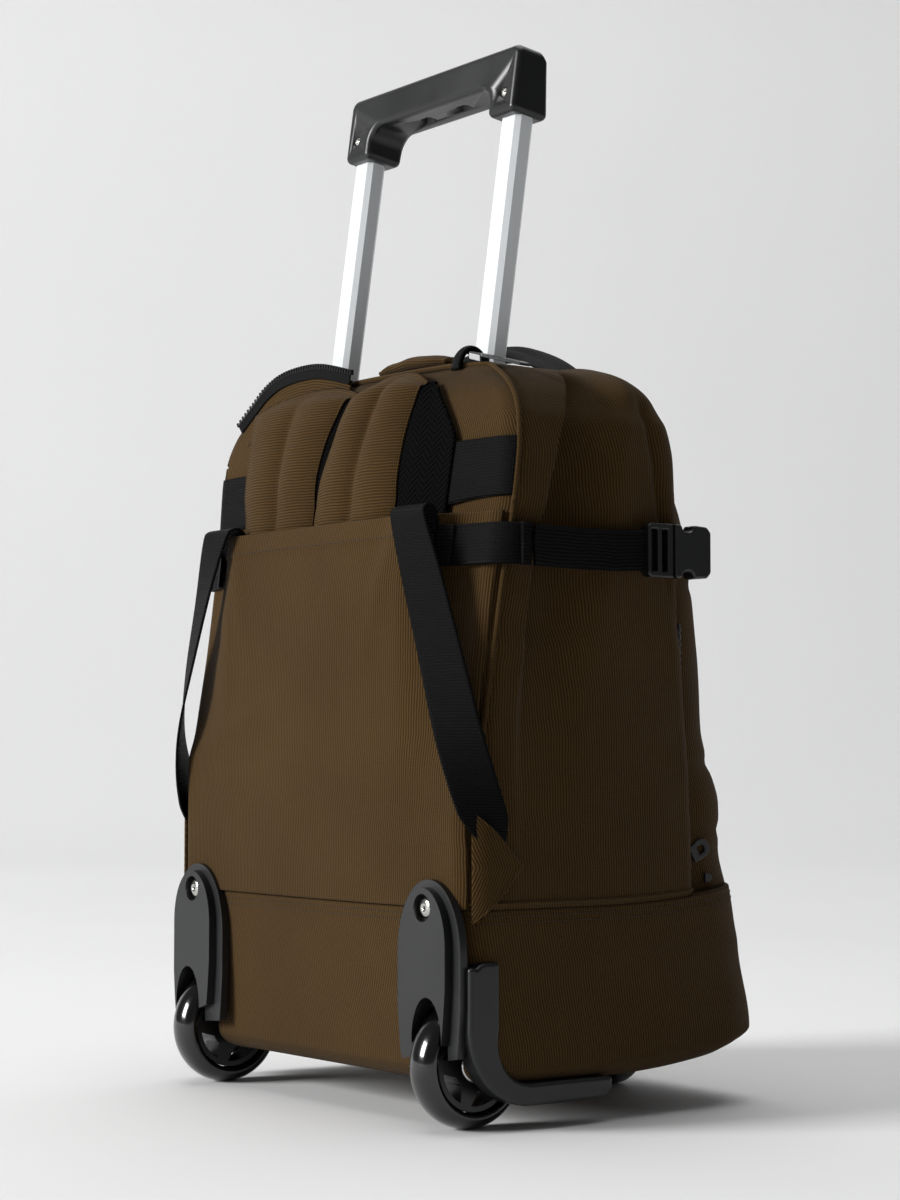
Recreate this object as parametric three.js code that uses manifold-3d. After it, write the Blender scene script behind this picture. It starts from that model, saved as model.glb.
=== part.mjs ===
// Wheeled backpack: a hollow fabric bag on two wheels with a telescopic handle, stowed shoulder
// straps, side compression straps with buckles, moulded wheel housings and a front foot.
// Millimetres, +Z up. -Y is the side worn against the back, +Y the front pocket, X runs across.
// While it is built, the floor below the wheel axle is Y = 0; the last lines centre the footprint.
import * as THREE from 'three';
import { mergeVertices } from 'three/addons/utils/BufferGeometryUtils.js';
import Module from 'manifold-3d';

const wasm = await Module();
wasm.setup();

// Driving sizes of the wheels
const WHEEL_RADIUS = 38;
const WHEEL_WIDTH = 23;
const HALF_TRACK = 134.6;
const CORE_RADIUS = 27.5;
const CORE_WIDTH = 17;
const HUB_RADIUS = 13.6;
const BEARING_RADIUS = 10.6;
const AXLE_RADIUS = 4;
const SPOKES = 5;

// Driving sizes of the bag
const HALF_WIDTH = 162;
const BASE_BOTTOM = 26;
const BASE_TOP = 129;
const BAG_TOP = 461;
const BACK_AT_SEAM = -18;
const BACK_SETBACK = 34;
const BODY_DEPTH = 178;
const FRONT_SETBACK = 9;
const TOP_ROUNDING = 38;
const VALLEY_DEPTH = 13;
const VALLEY_WIDTH = 14;
const VALLEY_PLACE = 33;
const VALLEY_LEAN = 18;
const CLOTH = 2;
const GAP = 0.3;
const BASE_DEPTH = 230;
const BASE_SHRINK = 2;
const BASE_FRONT_RISE = 11;
const BASE_EDGE = 10;
const SEAM_RISE = 9;
const POCKET_TOP = 392;
const POCKET_HALF_WIDTH = 150;
const POCKET_DEPTH = 230;
const POCKET_SETBACK = 34;
const POCKET_ROUNDING = 14;
const POCKET_CORNER = 36;

// Driving sizes of the pieces on the back
const HEM_HEIGHT = 363;
const HEM_STAND = 21;
const PANEL_HALF_WIDTH = 146;
const STRAP_PADDING = 14;
const MESH_PADDING = 4;
const STRAP_BOTTOM = 322;
const STRAP_TOP = 453;
const BAND_BOTTOM = 372;
const BAND_TOP = 408;
const BAND_THICKNESS = 1.4;

// Driving sizes of the webbing and buckles
const WEBBING = 1.6;
const COMPRESSION_WIDTH = 25;
const COMPRESSION_HEIGHT = 343;
const COMPRESSION_START = 120;
const BUCKLE_WIDTH = 33;
const BUCKLE_START = 107.5;
const BUCKLE_LENGTH = 50;
const BUCKLE_THICKNESS = 11;
const LOWER_WIDTH = 30;
const TAB_REACH = 31;
const TAB_HEIGHT = 65;
const TAB_BELOW_SEAM = 8;
const TAB_THICKNESS = 2.4;

// Driving sizes of the top's details and the pullers
const ZIP_TAPE_WIDTH = 9;
const ZIP_TAPE_THICKNESS = 1.4;
const ZIP_TEETH = 3.4;
const FLAP_START = 0;
const FLAP_END = 70;
const FLAP_PLACE = 38;
const FLAP_HALF_DEPTH = 12;
const FLAP_HALF_RISE = 5;
const CARRY_HALF_LENGTH = 96;
const CARRY_PLACE = 118;
const CARRY_WIDTH = 26;
const CARRY_THICKNESS = 5;
const CARRY_RISE = 18;
const LOOP_WIDTH = 14;
const LOOP_THICKNESS = 3;
const LOOP_PLACE_X = 96;
const LOOP_PLACE_Y = 31;
const LOOP_HALF_DEPTH = 9;
const LOOP_RISE = 14;
const PULLER_THICKNESS = 2;
const PULLER_HALF_WIDTH = 6;
const PULLER_HOLE = 3;
const UPPER_PULLER = 15;
const LOWER_PULLER = 20;

// Driving sizes of the telescopic handle
const TUBE_HALF_SPACING = 81.6;
const TUBE_WIDTH = 19;
const TUBE_DEPTH = 14.5;
const TUBE_CHAMFER = 3;
const TUBE_WALL = 1.3;
const TUBE_LENGTH = 405;
const TUBE_LEAN = 8.2;
const SLEEVE_WALL = 1.6;
const SLIDE_CLEARANCE = 0.5;
const SLEEVE_BOTTOM = 42;
const GRIP_PLACE_Y = 80.6;
const GRIP_PLACE_Z = 622.2;
const GRIP_HALF_WIDTH = 94;
const GRIP_HEIGHT = 45;
const GRIP_BAR = 24;
const GRIP_LEG = 28;
const GRIP_FRONT = 14;
const GRIP_BACK = 14.5;
const SOCKET_DEPTH = 18;
const SCREW_RADIUS = 3.2;

// Driving sizes of the wheel housings, rails and foot
const HOUSING_HALF_WIDTH = 31;
const HOUSING_TOP = 146;
const HOUSING_BOTTOM = 44;
const HOUSING_FRONT = -25;
const HOUSING_PLATE = 5;
const HOUSING_RIB = 4;
const WELL_CLEARANCE = 2;
const WELL_ARC_CLEARANCE = 4;
const WELL_WALL = 2.2;
const RIVET_HEIGHT = 129.6;
const RIVET_RADIUS = 6.3;
const RAIL_WIDTH = 14.5;
const RAIL_BACK = -12;
const RAIL_TOP = 99;
const RAIL_BOTTOM = 14.5;
const RAIL_THICKNESS = 12;
const RAIL_END = 86;
const RAIL_RADIUS = 42;
const FOOT_HALF_WIDTH = 30;
const FOOT_RISE = 34;
const FOOT_DEPTH = 18;
const FOOT_PLACE = 196;

const rad = THREE.MathUtils.degToRad;
const clamp = THREE.MathUtils.clamp;
const lerp = THREE.MathUtils.lerp;
const smooth = THREE.MathUtils.smoothstep;
const point = (x, y, z) => new THREE.Vector3(x, y, z);

// Materials
const finish = (color, roughness, metalness = 0) =>
  new THREE.MeshStandardMaterial({ color, roughness, metalness });
const materials = {
  cloth: finish(0x4b3a22, 0.9),
  webbing: finish(0x1b1b1c, 0.85),
  mesh: finish(0x121213, 0.95),
  plastic: finish(0x26282a, 0.5),
  rubber: finish(0x0c0d0f, 0.2),
  core: finish(0x1a1c1e, 0.35),
  steel: finish(0xb8b8b4, 0.25, 1),
  aluminium: finish(0xc4c8cb, 0.3, 1),
  zip: finish(0x202224, 0.45),
};

// Solids and meshes

// A closed solid through rings of equal point count. Each end is a fan round its middle, or, where
// a ring runs along a sheet's front and back again along its rear, a strip between the two
function loft(rings, strip = false) {
  const count = rings[0].length;
  const positions = rings.flat().flatMap((p) => [p.x, p.y, p.z]);
  const index = [];
  for (let ring = 0; ring + 1 < rings.length; ring += 1) {
    for (let i = 0; i < count; i += 1) {
      const a = ring * count + i;
      const b = ring * count + ((i + 1) % count);
      index.push(a, b, b + count, a, b + count, a + count);
    }
  }
  for (const [ring, turn] of [[0, 1], [rings.length - 1, 0]]) {
    if (strip) {
      for (let i = 0; i + 1 < count / 2; i += 1) {
        const [a, b, c, d] = [i, i + 1, count - 2 - i, count - 1 - i].map((k) => ring * count + k);
        index.push(...(turn ? [a, c, b, a, d, c] : [a, b, c, a, c, d]));
      }
      continue;
    }
    const middle = positions.length / 3;
    const centre = rings[ring].reduce((sum, p) => sum.add(p), point(0, 0, 0)).divideScalar(count);
    positions.push(centre.x, centre.y, centre.z);
    for (let i = 0; i < count; i += 1) {
      const a = ring * count + i;
      const b = ring * count + ((i + 1) % count);
      index.push(middle, turn ? b : a, turn ? a : b);
    }
  }
  const geometry = new THREE.BufferGeometry();
  geometry.setAttribute('position', new THREE.Float32BufferAttribute(positions, 3));
  geometry.setIndex(index);
  return outward(geometry);
}

// Turns a closed geometry's faces outwards, judged by the sign of its volume
function outward(geometry) {
  const place = geometry.attributes.position;
  const index = geometry.index.array;
  const corner = [point(), point(), point()];
  let volume = 0;
  for (let i = 0; i < index.length; i += 3) {
    corner.forEach((c, k) => c.fromBufferAttribute(place, index[i + k]));
    volume += corner[0].dot(corner[1].clone().cross(corner[2]));
  }
  if (volume < 0) {
    for (let i = 0; i < index.length; i += 3) {
      [index[i], index[i + 1]] = [index[i + 1], index[i]];
    }
  }
  return geometry;
}

function solid(geometry) {
  const bare = geometry.clone();
  bare.deleteAttribute('normal');
  bare.deleteAttribute('uv');
  const merged = mergeVertices(bare, 1e-4);
  return new wasm.Manifold(new wasm.Mesh({
    numProp: 3,
    vertProperties: Float32Array.from(merged.attributes.position.array),
    triVerts: Uint32Array.from(merged.index.array),
  }));
}

function geometryOf(manifold) {
  const mesh = manifold.getMesh();
  const geometry = new THREE.BufferGeometry();
  geometry.setAttribute('position', new THREE.BufferAttribute(mesh.vertProperties, 3));
  geometry.setIndex(new THREE.BufferAttribute(mesh.triVerts, 1));
  geometry.computeVertexNormals();
  return geometry;
}

const box = (low, high) => new THREE.BoxGeometry(high[0] - low[0], high[1] - low[1], high[2] - low[2])
  .translate((low[0] + high[0]) / 2, (low[1] + high[1]) / 2, (low[2] + high[2]) / 2);

// A cylinder lying along X, Y or Z between two places on that axis
function bar(axis, radius, from, to, [u, v], sides = 24) {
  const geometry = new THREE.CylinderGeometry(radius, radius, to - from, sides);
  const middle = (from + to) / 2;
  if (axis === 'x') return geometry.rotateZ(Math.PI / 2).translate(middle, u, v);
  if (axis === 'y') return geometry.translate(u, middle, v);
  return geometry.rotateX(Math.PI / 2).translate(u, v, middle);
}

// An outline drawn in X and Z, extruded along Y between two places
function extrudeXZ(shape, from, to, steps = 8) {
  return new THREE.ExtrudeGeometry(shape, { depth: to - from, bevelEnabled: false, curveSegments: steps })
    .rotateX(Math.PI / 2)
    .translate(0, to, 0);
}

// An outline drawn in Y and Z, extruded along X between two places
function extrudeYZ(shape, from, to, steps = 8) {
  return new THREE.ExtrudeGeometry(shape, { depth: to - from, bevelEnabled: false, curveSegments: steps })
    .applyMatrix4(new THREE.Matrix4().makeBasis(point(0, 1, 0), point(0, 0, 1), point(1, 0, 0)))
    .translate(from, 0, 0);
}

// A flat band along a path: rows of middle point, direction across and normal
function band(rows, width, thickness) {
  return loft(rows.map(({ at, across, normal }) => {
    const w = across.clone().normalize().multiplyScalar(width / 2);
    const n = normal.clone().normalize().multiplyScalar(thickness / 2);
    return [
      at.clone().sub(w).sub(n), at.clone().add(w).sub(n), at.clone().add(w).add(n), at.clone().sub(w).add(n),
    ];
  }));
}

// Shape of the bag: sections by height, all lengths as shares of the named sizes.
// rise: share of the height from seam to top. back, front: shares of the setbacks.
// round: share of the top rounding that the outline is drawn in by. valley: share of its depth.
const BODY_SECTIONS = [
  { rise: 0.0, back: 0.0, front: 0.0, round: 0.0, valley: 0.0, corner: 13, crown: 3, belly: 3 },
  { rise: 0.2, back: 0.0, front: 0.3, round: 0.0, valley: 0.0, corner: 13, crown: 4, belly: 4 },
  { rise: 0.34, back: 0.2, front: 0.5, round: 0.0, valley: 0.1, corner: 14, crown: 6, belly: 4 },
  { rise: 0.46, back: 0.4, front: 0.75, round: 0.0, valley: 0.5, corner: 16, crown: 8, belly: 4 },
  { rise: 0.57, back: 0.57, front: 0.95, round: 0.0, valley: 0.85, corner: 18, crown: 10, belly: 3 },
  { rise: 0.71, back: 0.82, front: 1.0, round: 0.0, valley: 1.0, corner: 22, crown: 14, belly: 3 },
  { rise: 0.81, back: 0.95, front: 1.0, round: 0.0, valley: 1.0, corner: 26, crown: 16, belly: 3 },
  { rise: 0.875, back: 1.0, front: 1.2, round: 0.05, valley: 0.95, corner: 28, crown: 14, belly: 3 },
  { rise: 0.92, back: 1.05, front: 1.6, round: 0.22, valley: 0.8, corner: 28, crown: 11, belly: 2 },
  { rise: 0.955, back: 1.1, front: 2.0, round: 0.53, valley: 0.5, corner: 28, crown: 8, belly: 2 },
  { rise: 0.98, back: 1.2, front: 2.5, round: 0.95, valley: 0.25, corner: 28, crown: 5, belly: 1 },
  { rise: 0.994, back: 1.35, front: 3.2, round: 1.4, valley: 0.1, corner: 28, crown: 3, belly: 0 },
  { rise: 1.0, back: 1.6, front: 4.2, round: 1.9, valley: 0.0, corner: 26, crown: 2, belly: 0 },
];

const sectionKeys = (row) => Object.keys(row).filter((key) => key !== 'rise');

// A table's values at a rise between its rows
function between(table, rise) {
  const next = table.findIndex((row) => row.rise >= rise);
  if (next <= 0) return { ...table[next < 0 ? table.length - 1 : 0] };
  const [low, high] = [table[next - 1], table[next]];
  const t = (rise - low.rise) / (high.rise - low.rise);
  return Object.fromEntries([['rise', rise], ...sectionKeys(low).map((k) => [k, lerp(low[k], high[k], t)])]);
}

const BODY_HEIGHT = BAG_TOP - BASE_TOP;

// The plan of the bag's body at a rise: half width, back, front and its rounding
function bodyPlan(rise, inset = 0) {
  const row = between(BODY_SECTIONS, clamp(rise, 0, 1));
  const drawn = row.round * TOP_ROUNDING;
  return {
    half: HALF_WIDTH - drawn - inset,
    back: BACK_AT_SEAM + row.back * BACK_SETBACK + inset,
    front: BACK_AT_SEAM + BODY_DEPTH - row.front * FRONT_SETBACK - drawn * 0.4 - inset,
    backCorner: 16,
    frontCorner: row.corner,
    backCrown: 4 + 2 * clamp(rise, 0, 0.9),
    frontCrown: row.crown,
    sideCrown: row.belly,
    valley: row.valley * VALLEY_DEPTH,
    valleyPlace: BACK_AT_SEAM + row.back * BACK_SETBACK + VALLEY_PLACE + VALLEY_LEAN * clamp(rise, 0, 1),
  };
}

// An outline in plan, anticlockwise from the back's left end: straight sides crowned by a cosine,
// corners as quarter rounds, and the valley pressed into both sides
function outline(plan, across = 6, along = 9, turn = 3) {
  const points = [];
  const { half, back, front, backCorner, frontCorner } = plan;
  const side = (u) => Math.cos((Math.PI / 2) * (2 * u - 1));
  for (let i = 0; i < across; i += 1) {
    const u = i / across;
    points.push([lerp(-half + backCorner, half - backCorner, u), back - plan.backCrown * side(u)]);
  }
  for (let i = 0; i < turn; i += 1) {
    const a = (Math.PI / 2) * (i / turn);
    points.push([half - backCorner + backCorner * Math.sin(a), back + backCorner * (1 - Math.cos(a))]);
  }
  const dent = (y) => plan.valley * Math.exp(-(((y - plan.valleyPlace) / VALLEY_WIDTH) ** 2));
  for (let i = 0; i < along; i += 1) {
    const u = i / along;
    const y = lerp(back + backCorner, front - frontCorner, u);
    points.push([half + plan.sideCrown * side(u) - dent(y), y]);
  }
  for (let i = 0; i < turn; i += 1) {
    const a = (Math.PI / 2) * (i / turn);
    points.push([half - frontCorner * (1 - Math.cos(a)), front - frontCorner * (1 - Math.sin(a))]);
  }
  const right = points.slice(across);
  for (let i = 0; i <= across; i += 1) {
    const u = i / across;
    points.push([lerp(half - frontCorner, -half + frontCorner, u), front + plan.frontCrown * side(u)]);
  }
  return [...points, ...right.slice(1).reverse().map(([x, y]) => [-x, y])];
}

// The seam between base and body rises a little towards the front
const seam = (y) => BASE_TOP + SEAM_RISE * clamp((y - 80) / 130, 0, 1) ** 2;
const underside = (y) => BASE_BOTTOM + BASE_FRONT_RISE * clamp((y - 90) / 110, 0, 1) ** 2;

function bodyRings(inset, bottom, top, sections = BODY_SECTIONS) {
  return sections.map(({ rise }) => outline(bodyPlan(rise, inset))
    .map(([x, y]) => point(x, y, lerp(seam(y) + bottom, BAG_TOP + top, rise))));
}

// Where the body's back, side and front surfaces lie
const riseAt = (z) => (z - BASE_TOP) / BODY_HEIGHT;

function backAt(x, z) {
  const plan = bodyPlan(riseAt(z));
  const flat = plan.half - plan.backCorner;
  const beyond = Math.abs(x) - flat;
  if (beyond <= 0) return plan.back - plan.backCrown * Math.cos((Math.PI / 2) * (x / flat));
  const reach = Math.min(beyond, plan.backCorner * 0.98);
  return plan.back + plan.backCorner - Math.sqrt(plan.backCorner ** 2 - reach ** 2);
}

// The telescopic tubes lean with the back: a place on the handle's own upright plane
const lean = rad(TUBE_LEAN);
const up = point(0, Math.sin(lean), Math.cos(lean));
const gripFoot = point(0, GRIP_PLACE_Y, GRIP_PLACE_Z);

// Stands geometry made upright at the origin on the handle's line, moved along it
const onHandle = (geometry, x = 0, along = 0) => geometry
  .rotateX(-lean)
  .translate(x, gripFoot.y + up.y * along, gripFoot.z + up.z * along);

function octagon(width, depth, chamfer) {
  const [w, d, c] = [width / 2, depth / 2, chamfer];
  return new THREE.Shape([
    [w - c, -d], [w, -d + c], [w, d - c], [w - c, d], [-w + c, d], [-w, d - c], [-w, -d + c], [-w + c, -d],
  ].map(([x, y]) => new THREE.Vector2(x, y)));
}

function hollowOctagon(width, depth, chamfer, wall, length) {
  const shape = octagon(width, depth, chamfer);
  shape.holes.push(octagon(width - 2 * wall, depth - 2 * wall, chamfer - wall * 0.6));
  return new THREE.ExtrudeGeometry(shape, { depth: length, bevelEnabled: false, steps: 1 });
}

// Bag

const sleeveWidth = TUBE_WIDTH + 2 * (SLIDE_CLEARANCE + SLEEVE_WALL);
const sleeveDepth = TUBE_DEPTH + 2 * (SLIDE_CLEARANCE + SLEEVE_WALL);
const alongHandle = (z) => (z - GRIP_PLACE_Z) / Math.cos(lean);
const sleeveTop = alongHandle(BAG_TOP) - 4;
const sleeveLength = sleeveTop - alongHandle(SLEEVE_BOTTOM);

function sleeveHole(sign) {
  const shape = octagon(sleeveWidth + 2 * GAP + 1, sleeveDepth + 2 * GAP + 1, TUBE_CHAMFER);
  const cut = new THREE.ExtrudeGeometry(shape, { depth: 80, bevelEnabled: false });
  return solid(onHandle(cut, sign * TUBE_HALF_SPACING, sleeveTop - 50));
}

// The lining side of the cloth is drawn through fewer sections
const liningSections = BODY_SECTIONS.filter((row, i) => ![1, 3, 5, 7, 9, 11].includes(i));

function bodyShell() {
  const outer = solid(loft(bodyRings(0, GAP / 2, 0)));
  const inner = solid(loft(bodyRings(CLOTH, -4, -CLOTH, liningSections)));
  return outer.subtract(inner).subtract(sleeveHole(-1)).subtract(sleeveHole(1));
}

// Everything that lies on the body keeps clear of this form
const reachRings = bodyRings(-2 * GAP, GAP / 2, 2 * GAP);
const reachFoot = reachRings[0].map((p) => point(p.x, p.y, p.z - 8));
const bodyReach = solid(loft([reachFoot, ...reachRings]));
const onBody = (shape) => (shape.isBufferGeometry ? solid(shape) : shape).subtract(bodyReach);

// rise: share from underside to seam. shrink: share of the base's bottom edge rounding.
// back: share of the shrink at the bottom. front: share of the depth lost from bottom to seam.
const BASE_SECTIONS = [
  { rise: 0.0, shrink: 1.0, back: 1.0, front: 0.0 },
  { rise: 0.04, shrink: 0.35, back: 1.0, front: 0.0 },
  { rise: 0.1, shrink: 0.0, back: 1.0, front: 0.0 },
  { rise: 0.5, shrink: 0.0, back: 0.5, front: 0.45 },
  { rise: 1.0, shrink: 0.0, back: 0.0, front: 1.0 },
];
const BASE_FORWARD = 17;
const BASE_BACK_LEAN = 3;

function baseRings(inset, bottom, top) {
  return BASE_SECTIONS.map((row) => {
    const drawn = row.shrink * BASE_EDGE + inset;
    const plan = {
      half: HALF_WIDTH - drawn,
      back: BACK_AT_SEAM + row.back * BASE_BACK_LEAN + drawn,
      front: BACK_AT_SEAM + BASE_DEPTH + (1 - row.front) * BASE_FORWARD - drawn,
      backCorner: 16,
      frontCorner: 50,
      backCrown: 4 * row.rise,
      frontCrown: 4,
      sideCrown: 3 - BASE_SHRINK * (1 - row.rise),
      valley: 0,
      valleyPlace: 0,
    };
    return outline(plan).map(([x, y]) => point(x, y, lerp(underside(y) + bottom, seam(y) + top, row.rise)));
  });
}

const wellHalfWidth = WHEEL_WIDTH / 2 + WELL_CLEARANCE;
const wellRadius = WHEEL_RADIUS + WELL_ARC_CLEARANCE;

// The wheel well's outer form, for the housing itself and, with a clearance, for the bag
function wellForm(sign, grow, low = 30) {
  const reach = wellHalfWidth + WELL_WALL + grow;
  const round = solid(bar('x', wellRadius + WELL_WALL + grow, sign * HALF_TRACK - reach,
    sign * HALF_TRACK + reach, [0, WHEEL_RADIUS], 28));
  const keep = solid(box([-300, HOUSING_FRONT, low], [300, 90, 200]));
  return round.intersect(keep);
}

// An L-shaped guard round the bottom back corner, drawn in Y and Z
function railOutline(grow) {
  const shape = new THREE.Shape();
  const outer = RAIL_RADIUS + grow;
  const inner = RAIL_RADIUS - RAIL_THICKNESS - grow;
  const turn = [RAIL_BACK + RAIL_RADIUS, RAIL_BOTTOM + RAIL_RADIUS];
  shape.moveTo(RAIL_BACK - grow, RAIL_TOP + grow);
  shape.lineTo(RAIL_BACK - grow, turn[1]);
  shape.absarc(...turn, outer, Math.PI, 1.5 * Math.PI, false);
  shape.lineTo(RAIL_END + grow - 5, RAIL_BOTTOM - grow);
  shape.lineTo(RAIL_END + grow, RAIL_BOTTOM + 5);
  shape.lineTo(RAIL_END + grow, RAIL_BOTTOM + RAIL_THICKNESS + grow);
  shape.absarc(...turn, inner, 1.5 * Math.PI, Math.PI, true);
  shape.lineTo(RAIL_BACK + RAIL_THICKNESS + grow, RAIL_TOP + grow);
  return shape;
}

const railInside = HALF_TRACK + wellHalfWidth + WELL_WALL + 2 * GAP;
const sided = (sign, near, far) => (sign > 0 ? [near, far] : [-far, -near]);

function cornerRail(sign, grow = 0) {
  return extrudeYZ(railOutline(grow), ...sided(sign, railInside - grow, railInside + RAIL_WIDTH + grow), 5);
}

function baseShell() {
  const inner = baseRings(CLOTH, CLOTH, 6);
  let shell = solid(loft(baseRings(0, 0, -GAP / 2))).subtract(solid(loft(inner)));
  for (const sign of [-1, 1]) {
    shell = shell.subtract(wellForm(sign, 2 * GAP, 0)).subtract(solid(cornerRail(sign, 2 * GAP)));
  }
  return shell;
}

// Front pocket: rise from the seam to its top, front as share of its setback, round as share of rounding
const POCKET_SECTIONS = [
  { rise: 0.0, front: 0.0, round: 0.0 },
  { rise: 0.1, front: 0.22, round: 0.0 },
  { rise: 0.2, front: 0.22, round: 0.0 },
  { rise: 0.29, front: 0.4, round: 0.0 },
  { rise: 0.39, front: 0.56, round: 0.05 },
  { rise: 0.55, front: 0.58, round: 0.1 },
  { rise: 0.7, front: 0.74, round: 0.15 },
  { rise: 0.85, front: 0.88, round: 0.25 },
  { rise: 0.94, front: 1.0, round: 0.45 },
  { rise: 0.98, front: 1.15, round: 0.8 },
  { rise: 1.0, front: 1.45, round: 1.4 },
];

function pocketRings(inset, bottom, top) {
  return POCKET_SECTIONS.map((row) => {
    const plan = {
      half: POCKET_HALF_WIDTH - row.round * POCKET_ROUNDING - inset,
      back: 100,
      front: BACK_AT_SEAM + POCKET_DEPTH - row.front * POCKET_SETBACK - inset,
      backCorner: 6,
      frontCorner: POCKET_CORNER,
      backCrown: 0,
      frontCrown: 3,
      sideCrown: 0,
      valley: 0,
      valleyPlace: 0,
    };
    return outline(plan, 6, 3, 4).map(([x, y]) => point(x, y, lerp(seam(y) + bottom, POCKET_TOP + top, row.rise)));
  });
}

function frontPocket() {
  const outer = solid(loft(pocketRings(0, GAP / 2, 0)));
  const inner = solid(loft(pocketRings(CLOTH, -4, -CLOTH)));
  return outer.subtract(inner).subtract(bodyReach);
}

// A sheet over the back: a grid of columns and rows with front and back surfaces
function backSheet(columns, rows, place, thickness) {
  return loft(rows.map((row) => {
    const front = columns.map((column) => place(column, row));
    const back = front.map((p) => p.clone().add(point(0, thickness, 0)));
    return [...front, ...back.reverse()];
  }), true);
}

const shares = (count) => Array.from({ length: count + 1 }, (_, i) => i / count);

// How far the strap pocket's panel stands off the back, most at the hem's middle
function panelStand(x, z) {
  const height = smooth(z, BASE_TOP + 20, HEM_HEIGHT);
  return HEM_STAND * height * (1 - smooth(Math.abs(x), 92, PANEL_HALF_WIDTH));
}

const panelFront = (x, z) => backAt(x, z) - 3 * GAP - CLOTH - panelStand(x, z);

function strapPocket() {
  const sheet = backSheet(
    shares(14).map((u) => lerp(-PANEL_HALF_WIDTH, PANEL_HALF_WIDTH, u)),
    shares(5).map((u) => lerp(BASE_TOP + 1, HEM_HEIGHT, u)),
    (x, z) => point(x, panelFront(x, z), z),
    CLOTH,
  );
  let panel = onBody(sheet);
  for (const sign of [-1, 1]) panel = panel.subtract(housingPlate(sign, GAP));
  return panel;
}

// Shoulder straps by height. rise: share from the strap's hidden end to its top. left, right: edges,
// as shares of the half width. stand: share of the full padding by which it stands off the back.
const STRAP_SECTIONS = {
  left: [
    { rise: 0.0, left: -0.52, right: -0.09, stand: 0.5 },
    { rise: 0.33, left: -0.53, right: -0.085, stand: 1.0 },
    { rise: 0.5, left: -0.545, right: -0.06, stand: 1.2 },
    { rise: 0.7, left: -0.57, right: -0.035, stand: 1.12 },
    { rise: 0.85, left: -0.61, right: -0.035, stand: 0.85 },
    { rise: 0.94, left: -0.66, right: -0.04, stand: 0.55 },
    { rise: 1.0, left: -0.7, right: -0.05, stand: 0.3 },
  ],
  right: [
    { rise: 0.0, left: -0.055, right: 0.47, stand: 0.5 },
    { rise: 0.33, left: -0.05, right: 0.465, stand: 1.0 },
    { rise: 0.5, left: 0.02, right: 0.475, stand: 1.2 },
    { rise: 0.7, left: 0.05, right: 0.48, stand: 1.12 },
    { rise: 0.85, left: 0.055, right: 0.48, stand: 0.85 },
    { rise: 0.94, left: 0.045, right: 0.43, stand: 0.55 },
    { rise: 1.0, left: 0.03, right: 0.36, stand: 0.3 },
  ],
};

// A strap's section at a rise: two padded lobes with the stitched line between them
function strapSection(side, rise, lining) {
  const row = between(STRAP_SECTIONS[side], rise);
  const z = lerp(STRAP_BOTTOM, STRAP_TOP, rise);
  const [left, right] = [row.left * HALF_WIDTH, row.right * HALF_WIDTH];
  const behind = (x) => backAt(x, z) - BAND_THICKNESS - 5 * GAP;
  const thick = STRAP_PADDING * Math.min(row.stand, 1);
  const lift = STRAP_PADDING * Math.max(row.stand - 1.1, 0);
  const lobes = shares(10).map((u) => {
    const x = lerp(left, right, u);
    const lobe = Math.abs(Math.sin(2 * Math.PI * u)) ** 0.4;
    const rim = Math.sin(Math.PI * u) ** 0.35;
    return { x, front: 0.34 * thick + 0.66 * thick * lobe * rim };
  });
  if (lining) {
    const edge = lerp(left, right, 0.98);
    const xs = [lerp(left, right, 0.04), lerp(left, right, 0.5), edge];
    const front = xs.map((x) => point(x, behind(x) - lift - MESH_PADDING, z));
    const rear = xs.map((x) => point(x, behind(x) - lift, z)).reverse();
    return [...front, ...rear];
  }
  const base = (x) => behind(x) - lift - MESH_PADDING - GAP;
  const front = lobes.map(({ x, front: f }) => point(x, base(x) - Math.max(f - MESH_PADDING, 2), z));
  const rear = [0.9, 0.5, 0.1].map((u) => lerp(left, right, u)).map((x) => point(x, base(x), z));
  return [...front, ...rear];
}

const strapRises = [0, 0.33, 0.42, 0.5, 0.6, 0.7, 0.78, 0.85, 0.9, 0.94, 1];
const shoulderStrap = (side) => loft(strapRises.map((rise) => strapSection(side, rise, false)));
const strapLining = (side) => loft(strapRises.map((rise) => strapSection(side, rise, true)), true);

// The webbing band across the upper back, behind the straps
function backBand() {
  const { half, backCorner } = bodyPlan(riseAt(BAND_TOP));
  const flat = half - backCorner;
  const round = [0.33, 0.63].map((u) => flat + backCorner * u);
  const columns = [...shares(8).map((u) => lerp(-flat, flat, u)), ...round];
  return backSheet(
    [...round.map((x) => -x).reverse(), ...columns],
    shares(2).map((u) => lerp(BAND_BOTTOM, BAND_TOP, u)),
    (x, z) => point(x, backAt(x, z) - 3 * GAP - BAND_THICKNESS, z),
    BAND_THICKNESS,
  );
}

// Compression strap: from the back panel, round the corner and along the side to its buckle
function sideX(y, z) {
  const plan = bodyPlan(riseAt(z));
  return plan.half + plan.sideCrown;
}

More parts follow.
